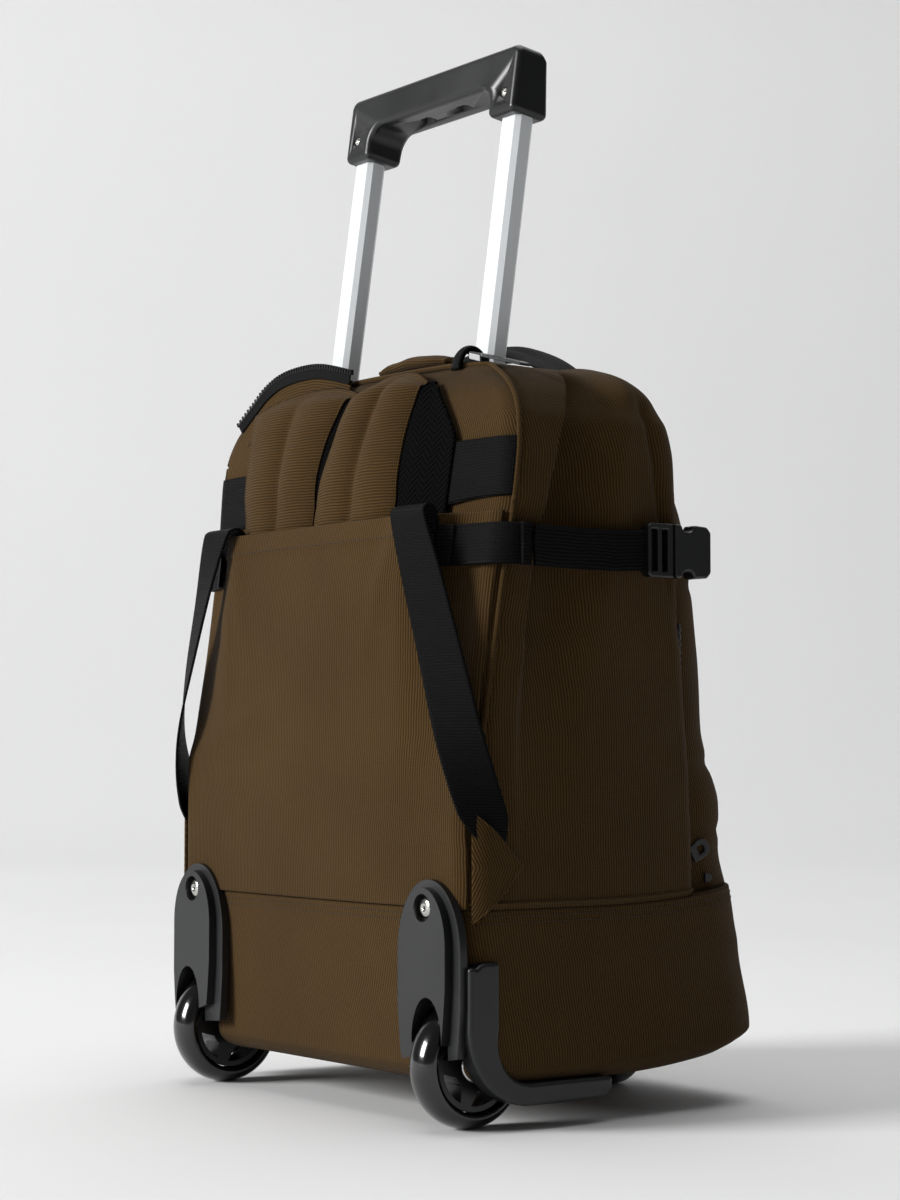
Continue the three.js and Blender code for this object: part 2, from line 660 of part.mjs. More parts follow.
function compressionStrap(sign) {
  const z = COMPRESSION_HEIGHT;
  const edges = [z - COMPRESSION_WIDTH / 2, z + COMPRESSION_WIDTH / 2];
  const off = WEBBING / 2 + 5 * GAP;
  const { half, back, backCorner } = bodyPlan(riseAt(z));
  const flat = half - backCorner;
  const rows = [COMPRESSION_START, (COMPRESSION_START + flat) / 2, flat].map((x) => {
    const [low, high] = edges.map((edge) => panelFront(x, edge));
    return {
      at: point(sign * x, (low + high) / 2 - off, z),
      across: point(0, high - low, COMPRESSION_WIDTH),
      normal: point(0, -1, 0),
    };
  });
  const [low, high] = edges.map((edge) => bodyPlan(riseAt(edge)).back);
  const radius = backCorner + off + CLOTH;
  for (const a of [30, 60, 90].map(rad)) {
    rows.push({
      at: point(sign * (flat + radius * Math.sin(a)), back + backCorner - radius * Math.cos(a), z),
      across: point(0, (high - low) * Math.cos(a), COMPRESSION_WIDTH),
      normal: point(sign * Math.sin(a), -Math.cos(a), 0),
    });
  }
  const onSide = { across: point(0, 0, 1), normal: point(sign, 0, 0) };
  rows.push({ at: point(sign * (sideX(0, z) + off), 40, z), ...onSide });
  rows.push({ at: point(sign * buckleMiddle(), BUCKLE_START - GAP, z), ...onSide });
  return onBody(band(rows, COMPRESSION_WIDTH, WEBBING));
}

// The buckle lies flat on the bag's side
const buckleMiddle = () => sideX(0, COMPRESSION_HEIGHT) + 3 * GAP + BUCKLE_THICKNESS / 2;

// The short webbing from the buckle round the front pocket's corner
function frontStrap(sign) {
  const z = COMPRESSION_HEIGHT;
  const front = frontPocketAt(z);
  const middle = [POCKET_HALF_WIDTH - POCKET_CORNER - 2, front - POCKET_CORNER];
  const radius = POCKET_CORNER + WEBBING / 2 + 9 * GAP;
  const start = BUCKLE_START + BUCKLE_LENGTH + GAP;
  const rows = [{ at: point(sign * buckleMiddle(), start, z), normal: point(sign, 0.2, 0) }];
  for (const a of [34, 58, 88].map(rad)) {
    rows.push({
      at: point(sign * (middle[0] + radius * Math.cos(a)), middle[1] + radius * Math.sin(a), z),
      normal: point(sign * Math.cos(a), Math.sin(a), 0),
    });
  }
  rows.push({ at: point(sign * (middle[0] - 36), front + 4 + 4 * GAP, z), normal: point(0, 1, 0) });
  return band(rows.map((row) => ({ ...row, across: point(0, 0, 1) })), COMPRESSION_WIDTH, WEBBING);
}

function frontPocketAt(z) {
  const row = between(POCKET_SECTIONS, (z - BASE_TOP) / (POCKET_TOP - BASE_TOP));
  return BACK_AT_SEAM + POCKET_DEPTH - row.front * POCKET_SETBACK;
}

// Side-release buckle: the socket with its web bar, and the plug whose prongs show in two notches
function bucklePieces(sign) {
  const middle = sign * buckleMiddle();
  const half = BUCKLE_THICKNESS / 2;
  const z = COMPRESSION_HEIGHT;
  const split = BUCKLE_START + BUCKLE_LENGTH * 0.42;
  const end = BUCKLE_START + BUCKLE_LENGTH;
  const place = (from, to, width, thick) => box(
    [middle - thick, from, z - width / 2],
    [middle + thick, to, z + width / 2],
  );
  const plug = solid(place(BUCKLE_START, split - GAP, BUCKLE_WIDTH, half * 0.8));
  const slot = solid(place(BUCKLE_START + 8, BUCKLE_START + 13, COMPRESSION_WIDTH, half * 2));
  let socket = solid(place(split, end, BUCKLE_WIDTH, half));
  for (const edge of [-1, 1]) {
    const notch = bar('x', 5, middle - half * 2, middle + half * 2, [split + 10, z + edge * BUCKLE_WIDTH / 2], 12);
    socket = socket.subtract(solid(notch));
  }
  const bevel = solid(place(split - 1, end + 1, BUCKLE_WIDTH - 2, half + 1));
  return { plug: plug.subtract(slot), socket: socket.intersect(bevel) };
}

// Lower webbing of a shoulder strap, from inside the strap pocket over its hem and down to the tab.
// rise: share of the height from tab to hem. x: share of the half width. y: place. turn: degrees
// by which the webbing faces the side.
const LOWER_WEBBING = [
  { rise: 0.84, x: 0.65, y: 1, turn: 0 },
  { rise: 1.0, x: 0.65, y: 2.5, turn: 0 },
  { rise: 1.055, x: 0.655, y: -8, turn: 0 },
  { rise: 0.99, x: 0.68, y: -24, turn: 8 },
  { rise: 0.8, x: 0.79, y: -24.5, turn: 18 },
  { rise: 0.55, x: 0.9, y: -24.5, turn: 24 },
  { rise: 0.34, x: 0.965, y: -23, turn: 36 },
  { rise: 0.18, x: 1.015, y: -16, turn: 56 },
  { rise: 0.02, x: 1.032, y: -4, turn: 84 },
];
const TAB_MIDDLE = 172;

function lowerWebbing(sign) {
  const rows = LOWER_WEBBING.map((row) => {
    const turn = rad(row.turn);
    const z = lerp(TAB_MIDDLE, HEM_HEIGHT, row.rise);
    return {
      at: point(sign * row.x * HALF_WIDTH, row.y, z),
      across: point(sign * Math.cos(turn), Math.sin(turn), 0),
      normal: point(sign * Math.sin(turn), -Math.cos(turn), 0),
    };
  });
  rows[2].normal = point(0, 0, 1);
  rows[1].normal = point(0, 1, 0.2);
  rows[0].normal = point(0, 1, 0);
  return onBody(band(rows, LOWER_WIDTH, WEBBING));
}

// rise: share of the tab's height. reach: share of its reach round onto the side.
const TAB_SECTIONS = [
  { rise: 1, reach: 0.05 }, { rise: 0.75, reach: 0.48 }, { rise: 0.51, reach: 1 },
  { rise: 0.26, reach: 0.55 }, { rise: 0, reach: 0.05 },
];

// A triangle of folded cloth, sewn into the back corner's seam and lying round onto the side
function sideTab(sign) {
  const { half, back, backCorner } = bodyPlan(0.1);
  const middle = [half - backCorner, back + backCorner];
  const edge = (reach, off) => {
    const bend = backCorner * (Math.PI / 4);
    const a = Math.PI / 4 + Math.min(reach, bend) / backCorner;
    const radius = backCorner + off;
    const beyond = Math.max(reach - bend, 0);
    return [middle[0] + radius * Math.sin(a) + beyond * 0.06, middle[1] - radius * Math.cos(a) + beyond];
  };
  const near = 4 * GAP;
  return onBody(loft(TAB_SECTIONS.map((row) => {
    const z = BASE_TOP - TAB_BELOW_SEAM + row.rise * TAB_HEIGHT;
    const reach = row.reach * TAB_REACH;
    const outer = shares(4).map((u) => edge(u * reach, near + TAB_THICKNESS));
    const inner = shares(4).map((u) => edge(u * reach, near)).reverse();
    return [...outer, ...inner].map(([x, y]) => point(sign * x, y, z));
  }), true));
}

// Top details

function rolledFlap() {
  return loft(shares(7).map((u) => {
    const x = lerp(FLAP_START, FLAP_END, u);
    const size = 0.45 + 0.55 * Math.sin(Math.PI * clamp(u, 0.04, 0.96)) ** 0.5;
    const [depth, rise] = [FLAP_HALF_DEPTH * size, FLAP_HALF_RISE * size];
    return shares(9).map((v) => {
      const a = 2 * Math.PI * 0.9 * v;
      return point(x, FLAP_PLACE + depth * Math.cos(a), BAG_TOP + GAP + rise + rise * Math.sin(a));
    });
  }));
}

function topHandle() {
  const rows = shares(12).map((u) => {
    const x = lerp(-CARRY_HALF_LENGTH, CARRY_HALF_LENGTH, u);
    const droop = (TOP_ROUNDING / 3) * Math.abs(2 * u - 1) ** 3;
    const crest = CARRY_RISE * Math.sin(Math.PI * u) ** 0.8;
    return {
      at: point(x, CARRY_PLACE, BAG_TOP + CARRY_THICKNESS - 1 - droop + crest),
      across: point(0, 1, 0),
      normal: point(-Math.cos(Math.PI * u) * 0.4, 0, 1),
    };
  });
  return onBody(band(rows, CARRY_WIDTH, CARRY_THICKNESS));
}

// Opened zip along the top left of the back. x: share of the half width. drop: how far it lies
// below the bag's top, as a share of the top rounding.
const ZIP_ARC = [
  { x: -0.86, drop: 0.45 }, { x: -0.78, drop: 0.14 }, { x: -0.7, drop: -0.1 }, { x: -0.58, drop: -0.26 },
  { x: -0.42, drop: -0.31 }, { x: -0.25, drop: -0.26 }, { x: -0.04, drop: -0.05 },
];

const zipArcCurve = () => new THREE.CatmullRomCurve3(ZIP_ARC.map(({ x, drop }) => {
  const flat = x * HALF_WIDTH;
  const z = BAG_TOP - drop * TOP_ROUNDING;
  const seat = Math.min(z - 10, BAG_TOP - TOP_ROUNDING / 3);
  return point(flat, backAt(flat, seat) - 4 * GAP, z);
}));

function zipStrip(from, to, thickness) {
  return loft(zipArcCurve().getPoints(12).map((p) => [
    point(p.x, p.y - thickness / 2, p.z + from), point(p.x, p.y + thickness / 2, p.z + from),
    point(p.x, p.y + thickness / 2, p.z + to), point(p.x, p.y - thickness / 2, p.z + to),
  ]));
}

function zipLoop() {
  const rows = shares(8).map((u) => {
    const a = Math.PI * u;
    const along = LOOP_HALF_DEPTH * Math.cos(a);
    return {
      at: point(LOOP_PLACE_X - along / 3, LOOP_PLACE_Y - along, BAG_TOP - 6 + LOOP_RISE * Math.sin(a)),
      across: point(1, -0.3, 0),
      normal: point(0, -Math.cos(a), Math.sin(a)),
    };
  });
  return onBody(band(rows, LOOP_WIDTH, LOOP_THICKNESS));
}

// Handle

function gripSolid() {
  const w = GRIP_HALF_WIDTH;
  const front = new THREE.Shape();
  const inner = w - GRIP_LEG;
  const bottomOfBar = GRIP_HEIGHT - GRIP_BAR;
  front.moveTo(-w, 0);
  front.lineTo(-inner, 0);
  front.lineTo(-inner, bottomOfBar - 11);
  front.absarc(-inner + 11, bottomOfBar - 11, 11, Math.PI, Math.PI / 2, true);
  front.lineTo(inner - 11, bottomOfBar);
  front.absarc(inner - 11, bottomOfBar - 11, 11, Math.PI / 2, 0, true);
  front.lineTo(inner, 0);
  front.lineTo(w, 0);
  front.lineTo(w, GRIP_HEIGHT - 4);
  front.absarc(w - 4, GRIP_HEIGHT - 4, 4, 0, Math.PI / 2, false);
  front.lineTo(-w + 4, GRIP_HEIGHT);
  front.absarc(-w + 4, GRIP_HEIGHT - 4, 4, Math.PI / 2, Math.PI, false);
  const profile = new THREE.Shape();
  profile.moveTo(-GRIP_FRONT, 0);
  profile.lineTo(GRIP_BACK - 4, 0);
  profile.quadraticCurveTo(GRIP_BACK + 1, GRIP_HEIGHT * 0.45, GRIP_BACK - 1, GRIP_HEIGHT * 0.68);
  profile.quadraticCurveTo(GRIP_BACK - 5, GRIP_HEIGHT - 1, -GRIP_FRONT + 12, GRIP_HEIGHT);
  profile.quadraticCurveTo(-GRIP_FRONT + 1, GRIP_HEIGHT, -GRIP_FRONT, GRIP_HEIGHT - 6);
  const plan = new THREE.Shape();
  const corner = 7;
  plan.moveTo(-w + corner, -GRIP_FRONT);
  plan.lineTo(w - corner, -GRIP_FRONT);
  plan.absarc(w - corner, -GRIP_FRONT + corner, corner, -Math.PI / 2, 0, false);
  plan.lineTo(w, GRIP_BACK + 2 - corner);
  plan.absarc(w - corner, GRIP_BACK + 2 - corner, corner, 0, Math.PI / 2, false);
  plan.lineTo(-w + corner, GRIP_BACK + 2);
  plan.absarc(-w + corner, GRIP_BACK + 2 - corner, corner, Math.PI / 2, Math.PI, false);
  plan.lineTo(-w, -GRIP_FRONT + corner);
  plan.absarc(-w + corner, -GRIP_FRONT + corner, corner, Math.PI, 1.5 * Math.PI, false);
  let grip = solid(extrudeXZ(front, -40, 40, 4))
    .intersect(solid(extrudeYZ(profile, -w - 1, w + 1, 5)))
    .intersect(solid(new THREE.ExtrudeGeometry(plan, { depth: 60, bevelEnabled: false, curveSegments: 3 })
      .translate(0, 0, -5)));
  for (const sign of [-1, 1]) {
    const socket = new THREE.ExtrudeGeometry(
      octagon(TUBE_WIDTH + 2 * GAP, TUBE_DEPTH + 2 * GAP, TUBE_CHAMFER),
      { depth: SOCKET_DEPTH + 5, bevelEnabled: false },
    ).translate(sign * TUBE_HALF_SPACING, 0, -5);
    const recess = bar('y', SCREW_RADIUS + GAP, -GRIP_FRONT - 1, -GRIP_FRONT + 3, [sign * TUBE_HALF_SPACING, 14], 16);
    const slot = bar('z', 2.4, bottomOfBar - 1, bottomOfBar + 3, [sign * 50, 4], 12).scale(1.6, 1, 1)
      .translate(-sign * 30, 0, 0);
    grip = grip.subtract(solid(socket)).subtract(solid(recess)).subtract(solid(slot));
  }
  return grip;
}

const screw = (sign) => bar('y', SCREW_RADIUS, -GRIP_FRONT + 0.6, -GRIP_FRONT + 3 - GAP,
  [sign * TUBE_HALF_SPACING, 14], 16);

// Wheels, housings and foot

// An arch-topped plate outline in X and Z
function archOutline(middle, half, bottom, top, grow = 0) {
  const shape = new THREE.Shape();
  const w = half + grow;
  const spring = top - half * 1.15;
  shape.moveTo(middle - w * 0.72, bottom - grow);
  shape.quadraticCurveTo(middle - w, bottom + 14, middle - w, bottom + 34);
  shape.lineTo(middle - w, spring - 8);
  shape.absellipse(middle, spring - 8, w, top + grow - spring + 8, Math.PI, 0, true);
  shape.lineTo(middle + w, bottom + 34);
  shape.quadraticCurveTo(middle + w, bottom + 14, middle + w * 0.72, bottom - grow);
  return shape;
}

const housingMiddle = (sign) => sign * (HALF_TRACK - 4.5);

function housingPlate(sign, grow = 0) {
  const shape = archOutline(housingMiddle(sign), HOUSING_HALF_WIDTH, HOUSING_BOTTOM, HOUSING_TOP, grow);
  return solid(extrudeXZ(shape, HOUSING_FRONT - grow, HOUSING_FRONT + HOUSING_PLATE + grow, 6));
}

function wheelHousing(sign) {
  const middle = housingMiddle(sign);
  const rib = archOutline(middle, HOUSING_HALF_WIDTH - 11, HOUSING_BOTTOM + 14, HOUSING_TOP - 7);
  const recess = solid(bar('y', RIVET_RADIUS + 2, HOUSING_FRONT - 10, HOUSING_FRONT - 0.5,
    [middle, RIVET_HEIGHT], 16));
  const mouth = archOutline(sign * HALF_TRACK, wellHalfWidth, -20, 2 * WHEEL_RADIUS + 2);
  const well = wellForm(sign, 0);
  const hollow = solid(bar('x', wellRadius, sign * HALF_TRACK - wellHalfWidth,
    sign * HALF_TRACK + wellHalfWidth, [0, WHEEL_RADIUS], 28));
  const below = solid(box([sign * HALF_TRACK - wellHalfWidth, -60, -10],
    [sign * HALF_TRACK + wellHalfWidth, 60, WHEEL_RADIUS]));
  const axleHole = solid(bar('x', AXLE_RADIUS + GAP, sign * HALF_TRACK - 30, sign * HALF_TRACK + 30,
    [0, WHEEL_RADIUS], 12));
  return housingPlate(sign)
    .add(solid(extrudeXZ(rib, HOUSING_FRONT - HOUSING_RIB, HOUSING_FRONT + 1, 5)))
    .add(well)
    .subtract(recess)
    .subtract(hollow)
    .subtract(below)
    .subtract(solid(extrudeXZ(mouth, -60, HOUSING_FRONT + HOUSING_PLATE + 12, 5)))
    .subtract(axleHole);
}

const rivet = (sign) => bar('y', RIVET_RADIUS, HOUSING_FRONT - HOUSING_RIB * 0.6, HOUSING_FRONT - 0.5 - GAP,
  [housingMiddle(sign), RIVET_HEIGHT], 14);

const axle = (sign) => bar('x', AXLE_RADIUS, sign * HALF_TRACK - wellHalfWidth - WELL_WALL,
  sign * HALF_TRACK + wellHalfWidth + WELL_WALL, [0, WHEEL_RADIUS], 12);

// A ring turned about X, through a closed profile of radius and offset
function ringX(profile, sign, sides) {
  const points = [...profile, profile[0]].map(([radius, offset]) => new THREE.Vector2(radius, offset));
  return new THREE.LatheGeometry(points, sides).rotateZ(Math.PI / 2).translate(sign * HALF_TRACK, 0, WHEEL_RADIUS);
}

function tyre(sign) {
  const half = WHEEL_WIDTH / 2;
  const crown = shares(6).map((u) => {
    const a = lerp(-78, 78, u);
    return [WHEEL_RADIUS - 9 + 9 * Math.cos(rad(a)) ** 0.8, half * Math.sin(rad(a)) / Math.sin(rad(78))];
  });
  return ringX([[CORE_RADIUS + 2 * GAP, half - 1.5], [CORE_RADIUS + 2 * GAP, -half + 1.5], ...crown], sign, 28);
}

// An arc's points round the wheel's centre, in Y and Z
const arc = (radius, from, to, steps) => shares(steps).map((u) => {
  const a = lerp(from, to, u);
  return new THREE.Vector2(radius * Math.cos(a), radius * Math.sin(a));
});

function wheelCore(sign) {
  const shape = new THREE.Shape(arc(CORE_RADIUS, 0, 2 * Math.PI, 28).slice(1));
  shape.holes.push(new THREE.Path(arc(BEARING_RADIUS + GAP, 0, 2 * Math.PI, 16).slice(1)));
  for (let spoke = 0; spoke < SPOKES; spoke += 1) {
    const middle = (spoke / SPOKES) * 2 * Math.PI;
    shape.holes.push(new THREE.Path([
      ...arc(CORE_RADIUS - 3.5, middle - 0.46, middle + 0.46, 4),
      ...arc(HUB_RADIUS + 2, middle + 0.2, middle - 0.2, 2),
    ]));
  }
  return extrudeYZ(shape, -CORE_WIDTH / 2, CORE_WIDTH / 2).translate(sign * HALF_TRACK, 0, WHEEL_RADIUS);
}

function bearing(sign) {
  const half = CORE_WIDTH / 2 + 0.6;
  return ringX([[AXLE_RADIUS + GAP, half], [AXLE_RADIUS + GAP, -half], [BEARING_RADIUS, -half],
    [BEARING_RADIUS, half]], sign, 16);
}

function frontFoot() {
  const shape = new THREE.Shape();
  const reach = FOOT_HALF_WIDTH + FOOT_RISE;
  const top = BASE_BOTTOM + BASE_FRONT_RISE - 3;
  shape.moveTo(-FOOT_HALF_WIDTH, 0);
  shape.lineTo(FOOT_HALF_WIDTH, 0);
  shape.quadraticCurveTo(FOOT_HALF_WIDTH + FOOT_RISE * 0.6, 3, reach, 22);
  shape.lineTo(reach, top);
  shape.lineTo(-reach, top);
  shape.lineTo(-reach, 22);
  shape.quadraticCurveTo(-FOOT_HALF_WIDTH - FOOT_RISE * 0.6, 3, -FOOT_HALF_WIDTH, 0);
  const foot = solid(extrudeXZ(shape, FOOT_PLACE - FOOT_DEPTH / 2, FOOT_PLACE + FOOT_DEPTH / 2, 6));
  return foot.subtract(solid(loft(baseRings(-GAP, -GAP, 0))));
}

// A zip puller on the pocket's side: a flat tongue with a round hole, at a height above the seam
function puller(height, length, turn) {
  const shape = new THREE.Shape();
  shape.moveTo(0, 1 - PULLER_HALF_WIDTH);
  shape.lineTo(length - PULLER_HALF_WIDTH, -PULLER_HALF_WIDTH);
  shape.absarc(length - PULLER_HALF_WIDTH, 0, PULLER_HALF_WIDTH, -Math.PI / 2, Math.PI / 2, false);
  shape.lineTo(0, PULLER_HALF_WIDTH - 1);
  const hole = new THREE.Path();
  hole.absarc(length - PULLER_HALF_WIDTH - 1, 0, PULLER_HOLE, 0, 2 * Math.PI, true);
  shape.holes.push(hole);
  const bodyFront = BACK_AT_SEAM + BODY_DEPTH;
  return extrudeYZ(shape, 0, PULLER_THICKNESS, 5)
    .rotateX(turn)
    .translate(POCKET_HALF_WIDTH + 2 * GAP, bodyFront + 2.5, BASE_TOP + height);
}

// Assembly

const bag = new THREE.Group();

function addMesh(name, shape, material) {
  const geometry = shape.isBufferGeometry ? shape : geometryOf(shape);
  const mesh = new THREE.Mesh(geometry, materials[material]);
  mesh.name = name;
  bag.add(mesh);
}

const SIDES = [['left', -1], ['right', 1]];

addMesh('base_shell', baseShell(), 'cloth');
addMesh('body_shell', bodyShell(), 'cloth');
addMesh('front_pocket', frontPocket(), 'cloth');
addMesh('strap_pocket', strapPocket(), 'cloth');
addMesh('back_band', backBand(), 'webbing');
addMesh('rolled_flap', rolledFlap(), 'cloth');
addMesh('top_handle', topHandle(), 'webbing');
addMesh('zip_tape', zipStrip(-ZIP_TAPE_WIDTH, 0, ZIP_TAPE_THICKNESS), 'webbing');
addMesh('zip_teeth', zipStrip(GAP, ZIP_TEETH, ZIP_TEETH), 'zip');
addMesh('zip_loop', zipLoop(), 'zip');
addMesh('front_foot', frontFoot(), 'plastic');
addMesh('puller_upper', puller(27, UPPER_PULLER, 0.5), 'zip');
addMesh('puller_lower', puller(13, LOWER_PULLER, 0), 'zip');
for (const [side, sign] of SIDES) {
  addMesh(`shoulder_strap_${side}`, shoulderStrap(side), 'cloth');
  addMesh(`strap_lining_${side}`, strapLining(side), 'mesh');
  addMesh(`compression_strap_${side}`, compressionStrap(sign), 'webbing');
  addMesh(`front_strap_${side}`, frontStrap(sign), 'webbing');
  const { plug, socket } = bucklePieces(sign);
  addMesh(`buckle_plug_${side}`, plug, 'plastic');
  addMesh(`buckle_socket_${side}`, socket, 'plastic');
  addMesh(`lower_webbing_${side}`, lowerWebbing(sign), 'webbing');
  addMesh(`side_tab_${side}`, sideTab(sign), 'cloth');
  addMesh(`wheel_housing_${side}`, wheelHousing(sign), 'plastic');
  addMesh(`corner_rail_${side}`, cornerRail(sign), 'plastic');
  addMesh(`rivet_${side}`, rivet(sign), 'steel');
  addMesh(`axle_${side}`, axle(sign), 'steel');
  addMesh(`tyre_${side}`, tyre(sign), 'rubber');
  addMesh(`wheel_core_${side}`, wheelCore(sign), 'core');
  addMesh(`bearing_${side}`, bearing(sign), 'steel');
  const x = sign * TUBE_HALF_SPACING;
  const sleeve = hollowOctagon(sleeveWidth, sleeveDepth, TUBE_CHAMFER + 1, SLEEVE_WALL, sleeveLength);
  addMesh(`trolley_sleeve_${side}`, onHandle(sleeve, x, sleeveTop - sleeveLength), 'aluminium');
  const tube = hollowOctagon(TUBE_WIDTH, TUBE_DEPTH, TUBE_CHAMFER, TUBE_WALL, TUBE_LENGTH);
  addMesh(`handle_tube_${side}`, onHandle(tube, x, SOCKET_DEPTH - GAP - TUBE_LENGTH), 'aluminium');
  addMesh(`grip_screw_${side}`, onHandle(screw(sign)), 'steel');
}
addMesh('grip', onHandle(geometryOf(gripSolid())), 'plastic');

const bounds = new THREE.Box3().setFromObject(bag);
bag.position.set(0, -(bounds.min.y + bounds.max.y) / 2, -bounds.min.z);

export default bag;
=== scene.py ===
import math

import bmesh
import bpy
import numpy as np
from mathutils import Matrix, Vector


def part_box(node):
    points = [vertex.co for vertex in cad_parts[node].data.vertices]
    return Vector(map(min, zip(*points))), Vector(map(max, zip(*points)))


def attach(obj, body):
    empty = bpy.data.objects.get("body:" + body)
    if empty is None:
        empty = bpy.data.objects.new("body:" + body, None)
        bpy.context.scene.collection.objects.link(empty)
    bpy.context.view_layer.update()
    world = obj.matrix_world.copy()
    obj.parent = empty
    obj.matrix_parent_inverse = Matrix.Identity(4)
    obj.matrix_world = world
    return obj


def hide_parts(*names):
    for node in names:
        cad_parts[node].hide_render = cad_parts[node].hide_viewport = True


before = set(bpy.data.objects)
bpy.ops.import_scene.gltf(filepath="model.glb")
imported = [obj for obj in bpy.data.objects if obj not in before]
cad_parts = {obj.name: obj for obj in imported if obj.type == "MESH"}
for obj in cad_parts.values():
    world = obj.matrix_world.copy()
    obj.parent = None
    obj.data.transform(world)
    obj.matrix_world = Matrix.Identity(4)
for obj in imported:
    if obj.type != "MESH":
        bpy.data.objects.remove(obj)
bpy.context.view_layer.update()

bl_info = {
    "name": "Wheeled backpack",
    "version": (1, 0, 0),
    "blender": (4, 5, 0),
    "location": "View3D > Sidebar > Backpack",
    "description": "Dresses the wheeled backpack's packed frame with cloth, webbing, mouldings and metal",
    "category": "Object",
}

# Lengths in this file are millimetres unless they say otherwise. While a shape is worked out, the
# floor under the wheel axle is Y = 0; place() moves it into the frame and turns it to metres.
TYRE_LOW, TYRE_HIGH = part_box("tyre_right")
SHIFT = np.array([0.0, 500.0 * (TYRE_LOW.y + TYRE_HIGH.y), 0.0])
WHEEL_RADIUS = 500.0 * (TYRE_HIGH.z - TYRE_LOW.z)
WHEEL_WIDTH = 1000.0 * (TYRE_HIGH.x - TYRE_LOW.x)
HALF_TRACK = 500.0 * (TYRE_HIGH.x + TYRE_LOW.x)

# Sizes of the bag, as in the part's source
HALF_WIDTH = 162.0
BASE_BOTTOM = 26.0
BASE_FRONT_RISE = 11.0
BASE_TOP = 129.0
SEAM_RISE = 9.0
BAG_TOP = 461.0
BACK_AT_SEAM = -18.0
BACK_SETBACK = 34.0
BODY_DEPTH = 178.0
FRONT_SETBACK = 9.0
TOP_ROUNDING = 38.0
BASE_DEPTH = 230.0
BASE_FORWARD = 17.0
BASE_EDGE = 10.0
BASE_BACK_LEAN = 3.0
TUBE_ROOM = 18.0
TUBE_ROOM_DEPTH = 40.0
BACK_CORNER = 16.0
POCKET_TOP = 392.0
POCKET_HALF_WIDTH = 150.0
POCKET_DEPTH = 230.0
POCKET_SETBACK = 34.0
POCKET_ROUNDING = 14.0
POCKET_CORNER = 36.0
HEM_HEIGHT = 363.0
HEM_STAND = 21.0
PANEL_HALF_WIDTH = 146.0
STRAP_PADDING = 14.0
MESH_PADDING = 4.0
STRAP_BOTTOM = 322.0
STRAP_TOP = 457.0
BAND_BOTTOM = 372.0
BAND_TOP = 408.0
COMPRESSION_HEIGHT = 343.0
COMPRESSION_WIDTH = 25.0
COMPRESSION_START = 120.0
BUCKLE_START = 107.5
BUCKLE_LENGTH = 50.0
BUCKLE_WIDTH = 33.0
BUCKLE_THICKNESS = 11.0
TUBE_HALF_SPACING = 81.6
TUBE_ROOM_PLACE = 11.0
WELL_CUT_RADIUS = 44.6
WELL_CUT_REACH = 16.2
WELL_RADIUS = 42.0
WELL_REACH = 13.5
WELL_WALL = 2.2
PLATE_INSET = 4.5
PLATE_FRONT = -25.0
RIVET_HEIGHT = 129.6
RAIL_GAP = 0.6
RAIL_WIDTH = 14.5
SCREW_HEIGHT = 14.0
PANEL_GAP = 2.9
MIDDLE_TO_HANDLE = 96.0
LEAN = math.radians(8.2)
GRIP_PLACE = np.array([0.0, 80.6, 622.2])

SIDES = (("left", -1), ("right", 1))


# Numbers and shapes

def srgb(code):
    """A hex colour as linear red, green, blue and alpha."""
    value = [int(code[i:i + 2], 16) / 255 for i in (1, 3, 5)]
    return (*[c / 12.92 if c <= 0.04045 else ((c + 0.055) / 1.055) ** 2.4 for c in value], 1.0)


def smooth(t, low=0.0, high=1.0):
    """Smooth step of t between low and high: 3u^2 - 2u^3."""
    u = np.clip((t - low) / (high - low), 0, 1)
    return u * u * (3 - 2 * u)


def bump(t, middle, width):
    """A bell of height 1 round middle: exp(-((t - middle) / width)^2)."""
    return np.exp(-(((t - middle) / width) ** 2))


def curve(rows, t):
    """Smooth values of a table at t, by monotone cubics: row 0 holds the places, the others the values."""
    rows = np.asarray(rows, float)
    x, values = rows[:, 0], rows[:, 1:]
    step = np.diff(x)[:, None]
    slope = np.diff(values, axis=0) / step
    inner = np.where(slope[:-1] * slope[1:] > 0,
                     2 * slope[:-1] * slope[1:] / (slope[:-1] + slope[1:] + 1e-12), 0)
    tangent = np.vstack([slope[:1], inner, slope[-1:]])
    t = np.clip(np.asarray(t, float), x[0], x[-1])
    k = np.clip(np.searchsorted(x, t, side="right") - 1, 0, len(x) - 2)
    h = step[k]
    u = (t - x[k])[..., None] / h
    return ((2 * u**3 - 3 * u**2 + 1) * values[k] + (u**3 - 2 * u**2 + u) * h * tangent[k]
            + (3 * u**2 - 2 * u**3) * values[k + 1] + (u**3 - u**2) * h * tangent[k + 1])


def path(points, count):
    """A smooth path of count points through given ones, by Catmull-Rom cubics at even arc length."""
    p = np.asarray(points, float)
    p = np.vstack([2 * p[0] - p[1], p, 2 * p[-1] - p[-2]])
    t = np.linspace(0, 1, 24, endpoint=False)[:, None]
    a, b, c, d = p[:-3], p[1:-2], p[2:-1], p[3:]
    dense = np.concatenate([
        0.5 * (2 * b[i] + (c[i] - a[i]) * t + (2 * a[i] - 5 * b[i] + 4 * c[i] - d[i]) * t**2
               + (3 * b[i] - a[i] - 3 * c[i] + d[i]) * t**3)
        for i in range(len(a))
    ] + [p[-2][None]])
    along = np.concatenate([[0], np.cumsum(np.linalg.norm(np.diff(dense, axis=0), axis=1))])
    even = np.linspace(0, along[-1], count)
    return np.stack([np.interp(even, along, dense[:, i]) for i in range(dense.shape[1])], -1)


